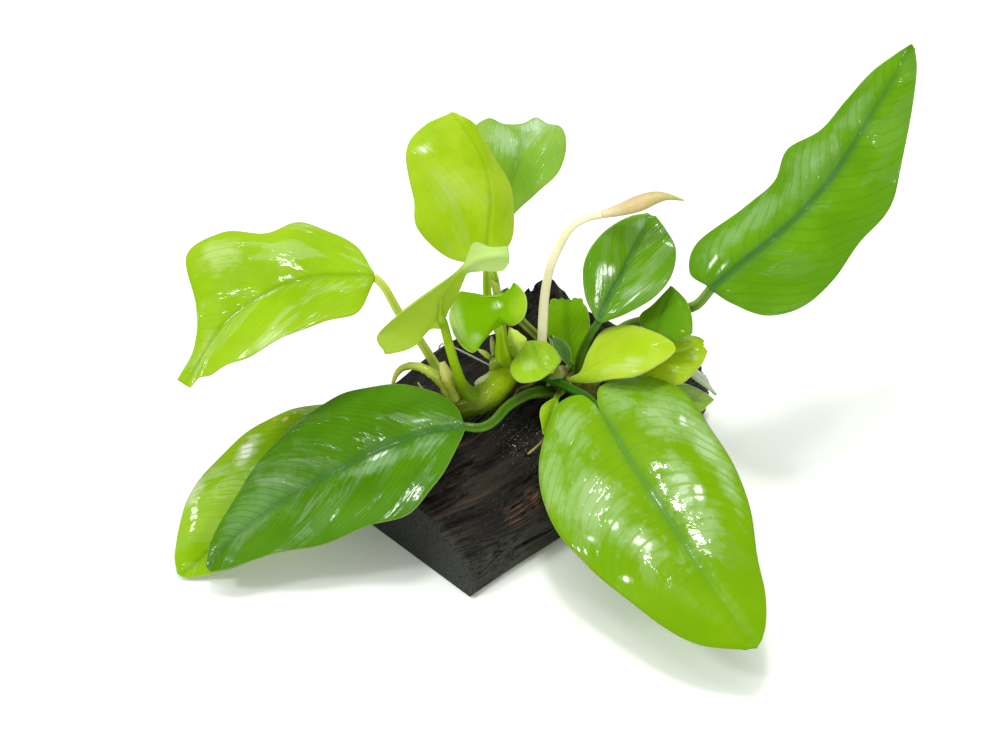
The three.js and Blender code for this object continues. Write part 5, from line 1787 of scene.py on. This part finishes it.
@dataclass
class Sheath:
    """A thin sheath that a stalk grew out of: a hollow band along a line."""

    node: str
    kind: SheathKind
    places: Places
    half_widths: Sizes  # mm
    finish: PlainFinish
    hollow: float = 0.75
    thickness: float = 0.28 * MM
    fray: float = 0.1
    columns: int = 21
    rows_each: int = 22  # from one of its places to the next

    def build(self) -> None:
        """Builds and dresses the sheath."""
        rows, columns = self.rows_each * (len(self.places) - 1), self.columns
        share = np.linspace(0, 1, rows)
        middle = Rail(seen(self.places)).at(share)
        width = measured(self.half_widths, share)[:, None]
        ahead = unit(np.gradient(middle, axis=0))
        side = unit(np.cross(ahead, np.asarray(CAMERA_PLACE) - middle))
        outward = np.cross(side, ahead)
        v = np.linspace(-1, 1, columns)
        teeth = np.random.default_rng(len(self.node)).uniform(-1, 1, (rows // 6 + 1, 2))
        at_teeth = np.linspace(0, 1, len(teeth))
        fray = np.stack([np.interp(share, at_teeth, teeth[:, k]) for k in (0, 1)], axis=1)
        fray = 1 + self.fray * fray[:, (v > 0).astype(int)] * np.abs(v)
        place = (middle[:, None] + side[:, None] * (v * width * fray)[..., None]
                 - outward[:, None] * (self.hollow * v ** 2 * width)[..., None])
        normal = unit(np.cross(np.gradient(place, axis=1), np.gradient(place, axis=0)))
        thick = normal * (self.thickness / 2) * (1 - 0.6 * v ** 2)[None, :, None]
        points, faces = shell(place + thick, place - thick)
        values = {"along": np.tile(np.repeat(share, columns), 2)}
        name = self.node.removeprefix("sheath_") + "_sheath"
        sheath = dress(new_piece(name, points, faces, values), self.finish.material(name + "_skin"))
        keep(sheath, self.kind.value, self.node)


SHEATH_SKIN = PlainFinish("c4d448", "aac03c", "e0c45c", tip_from=0.9, wet=0.4, rough=0.42)
TORN_SKIN = PlainFinish("aebc34", "ccd048", "eeec80", tip_from=0.6, wet=0.3, specks="5a3c1c", gain=1.6)
# painted light: lighter than the sheath's own colour, with a gain below the usual one, to lift the shade that
# the leaves above cast on it
SHADE_LIFTED_SKIN = PlainFinish("ccec50", "d8f070", "9c7c30", tip_from=0.93, wet=0.5, gain=1.05)
POINTED_SKIN = PlainFinish("a4c838", "b8c444", "9c7c30", tip_from=0.93, wet=0.4)
SHEATHS: list[Sheath] = [
    Sheath("sheath_arched", SheathKind.DRY, [
        (456, 403, 10.5), (449, 391, 9), (441, 381, 8), (432, 373.5, 7.5), (421, 367.5, 8),
        (411, 366, 9), (402, 368.5, 10), (396, 375, 10.5), (392.5, 385, 11),
    ], [1.2, 1.2, 1, 0.9, 0.8, 0.7, 0.6, 0.45, 0.3], SHEATH_SKIN),
    Sheath("sheath_torn", SheathKind.DRY, [
        (458, 402, 8.5), (452, 388, 7), (447, 376, 6), (442.5, 362, 5.5),
    ], [1.2, 1.2, 1.1, 0.5], TORN_SKIN, fray=0.14),
    Sheath("sheath_brown", SheathKind.BROWN, [
        (521, 357, 14), (519, 346, 12.6), (514, 336, 11.5), (508.8, 327.5, 11),
    ], [1.4, 1.7, 1.1, 0.1], SHADE_LIFTED_SKIN),
    Sheath("sheath_pointed", SheathKind.DRY, [
        (498, 298, 2.5), (495.3, 287, 0.9), (488.5, 278, -0.6),
    ], [0.65, 0.6, 0.08], POINTED_SKIN, fray=0.04),
]


@dataclass
class Roots:
    """The roots that creep from the stem on to the wood, with their fine hairs."""

    lines: tuple[tuple[str, Places], ...] = (
        ("root_loop", [(535, 378, 16.5), (530, 385, 14.3), (519, 389, 14), (512, 400, 15.8)]),
        ("root_forked", [(574, 392, 16.5), (560, 416, 11.8), (543, 440, 9.7), (528, 454, 9.5)]),
        ("root_left", [(461, 411, 11.5), (442, 410, 14), (428, 397, 17), (418, 383, 17.3)]),
    )
    width: float = 0.9 * MM
    finish: PlainFinish = PlainFinish("6f6a38", "8d8450", "c8be74", wet=0.5, rough=0.5)

    @staticmethod
    def hair_tree() -> Grower:
        """Builds the tree that grows short hairs out of a root.

        Returns:
            The tree.
        """
        g = Grower("root_hairs", {"Density": 3500000.0, "Hair Length": 0.0007, "Seed": 2})
        g.scatter(g.given["Geometry"], g.given["Density"], (4, 0.06), (0.3, 1.2), "Hair Length")
        return g

    def build(self) -> None:
        """Builds and dresses the roots."""
        skin = self.finish.material("root_skin")
        hairs = self.hair_tree()
        share = np.linspace(0, 1, 60)
        for number, (node, places) in enumerate(self.lines):
            line, radii = Rail(seen(places)).at(share), self.width / 2 * (1 - 0.55 * share)
            root = TREES.tube("creeping_" + node, line, radii, UP, share, skin, Sides=12, Lumps=0.14 * MM,
                              Lump_Scale=700.0, Seed=20 + number)
            keep(hairs.grow(root, skin, Seed=number), "brown_root", node)


@dataclass(frozen=True)
class LineFinish:
    """The look of the clear line."""

    body: str = "e8eeea"
    shade: str = "c9d6d0"
    alpha: float = 0.75
    relief: float = 0.02 * MM

    def material(self, name: str) -> Material:
        """Builds the clear material.

        Args:
            name: the material's name.

        Returns:
            The material.
        """
        g = Gloss(name, self.body, wet=0.6, smooth=0.05)
        cloud = g.noise(g.object_place, 400.0)
        g.cover(g.ease(cloud, 0.3, 0.7, 0.0, 0.4), self.shade)
        g.shader.inputs["Alpha"].default_value = self.alpha
        return g.done(0.18, cloud, self.relief)


@dataclass
class TieLine:
    """The clear line that ties the stem down, in mm: over the top and round the wood."""

    places: tuple[Sizes, ...] = (
        (-15.6, 19.6, 18.3), (-11, 16.2, 18.4), (-6.2, 12.4, 18.5), (-3.4, 11.6, 18.8), (-1.5, 14, 19),
        (0.2, 22, 19.2), (0.6, 26.6, 19), (0.8, 28.3, 17), (0.8, 28.6, 9), (0.6, 26.8, 0.8),
        (-0.5, 24.5, 0.45), (-8, 19.5, 0.45), (-14.5, 16.5, 0.45), (-16.6, 18.8, 0.9), (-17.4, 20.2, 8),
        (-17, 20.5, 16.2),
    )
    width: float = 0.4 * MM
    facing: Place = (0.3, 0.4, 0.87)  # any direction that the loop doesn't take
    finish: LineFinish = LineFinish()

    def build(self) -> None:
        """Builds and dresses the line."""
        count = len(self.places)
        rail = Rail((self.places[-1], *self.places, *self.places[:2]))
        share = (1 + np.arange(count * 8) / 8) / (count + 2)
        points = rail.at(share) * MM
        line = TREES.tube("clear_tie_line", points, np.full(len(points), self.width / 2), self.facing, share,
                          self.finish.material("clear_line_skin"), closed=True, Sides=8)
        keep(line, "clear_line", "tie_line")


@dataclass
class Studio:
    """The pale floor, the soft lights and the camera."""

    floor_size: float = 6.0
    floor_drop: float = 0.05 * MM
    floor_tone: Colour = (0.95, 0.98, 0.925, 1.0)
    sky_strength: float = 0.72
    aim: Place = (0, 0, 0.03)  # where all lights point
    lights: tuple[tuple[str, Place, tuple[float, float], float], ...] = (
        ("overhead_panel", (-0.1, 0.15, 0.8), (0.8, 0.6), 2.6),
        ("overhead_box", (-0.03, -0.02, 0.72), (0.11, 0.1), 1.6),
        ("left_box", (-0.45, -0.21, 0.56), (0.09, 0.1), 1.2),
        ("right_box", (0.4, -0.58, 0.38), (0.08, 0.12), 0.9),
    )  # the name, the place, the width and height, and the watts of each

    def floor(self) -> None:
        """Lays the floor."""
        half, low = self.floor_size / 2, -self.floor_drop
        corners = np.array([(-half, -half, low), (half, -half, low), (half, half, low), (-half, half, low)])
        floor = new_piece("pale_floor", corners, [(0, 1, 2, 3)], {})
        material = bpy.data.materials.new("pale_floor_paint")
        material.use_nodes = True
        matt = {"Base Color": self.floor_tone, "Roughness": 0.75, "Specular IOR Level": 0.2}
        Wiring(material.node_tree).feed(material.node_tree.nodes["Principled BSDF"], matt)
        floor.data.materials.append(material)

    def light(self, name: str, place: Place, size: tuple[float, float], power: float) -> None:
        """Hangs one soft box that faces the plant.

        Args:
            name: the light's name.
            place: where it hangs.
            size: its width and height.
            power: its power in watts.
        """
        lamp = bpy.data.lights.new(name, "AREA")
        lamp.shape = "RECTANGLE"
        lamp.size, lamp.size_y = size
        lamp.energy = power
        holder = bpy.data.objects.new(name, lamp)
        holder.location = place
        holder.rotation_euler = (Vector(self.aim) - Vector(place)).to_track_quat("-Z", "Y").to_euler()
        bpy.context.scene.collection.objects.link(holder)

    def build(self) -> None:
        """Sets the floor, the lights, the sky and the camera."""
        self.floor()
        world = bpy.data.worlds.new("soft_sky")
        world.use_nodes = True
        sky = {"Color": (1, 1, 1, 1), "Strength": self.sky_strength}
        Wiring(world.node_tree).feed(world.node_tree.nodes["Background"], sky)
        scene = bpy.context.scene
        scene.world = world
        scene.view_settings.view_transform = "Standard"
        for light in self.lights:
            self.light(*light)
        camera = bpy.data.cameras.new("viewer")
        camera.sensor_width = SENSOR_WIDTH
        camera.lens = FOCAL_LENGTH / PICTURE_WIDTH * SENSOR_WIDTH
        holder = bpy.data.objects.new("viewer", camera)
        holder.location = CAMERA_PLACE
        holder.rotation_euler = (math.pi / 2 - CAMERA_DOWN, 0, 0)
        scene.collection.objects.link(holder)
        scene.camera = holder


def main() -> None:
    """Builds the plant piece by piece."""
    logging.basicConfig(level=logging.INFO, format="%(message)s")
    Studio().build()
    Driftwood().build()
    Rhizome().build()
    OldStalk().build()
    for seed, leaf in enumerate(LEAVES, start=FIRST_LEAF_SEED):
        replace(leaf, seed=seed).build()
    flower = Flower()
    flower.build_stalk()
    flower.build_spathe()
    for sheath in SHEATHS:
        sheath.build()
    Roots().build()
    TieLine().build()


if __name__ == "__main__":
    main()
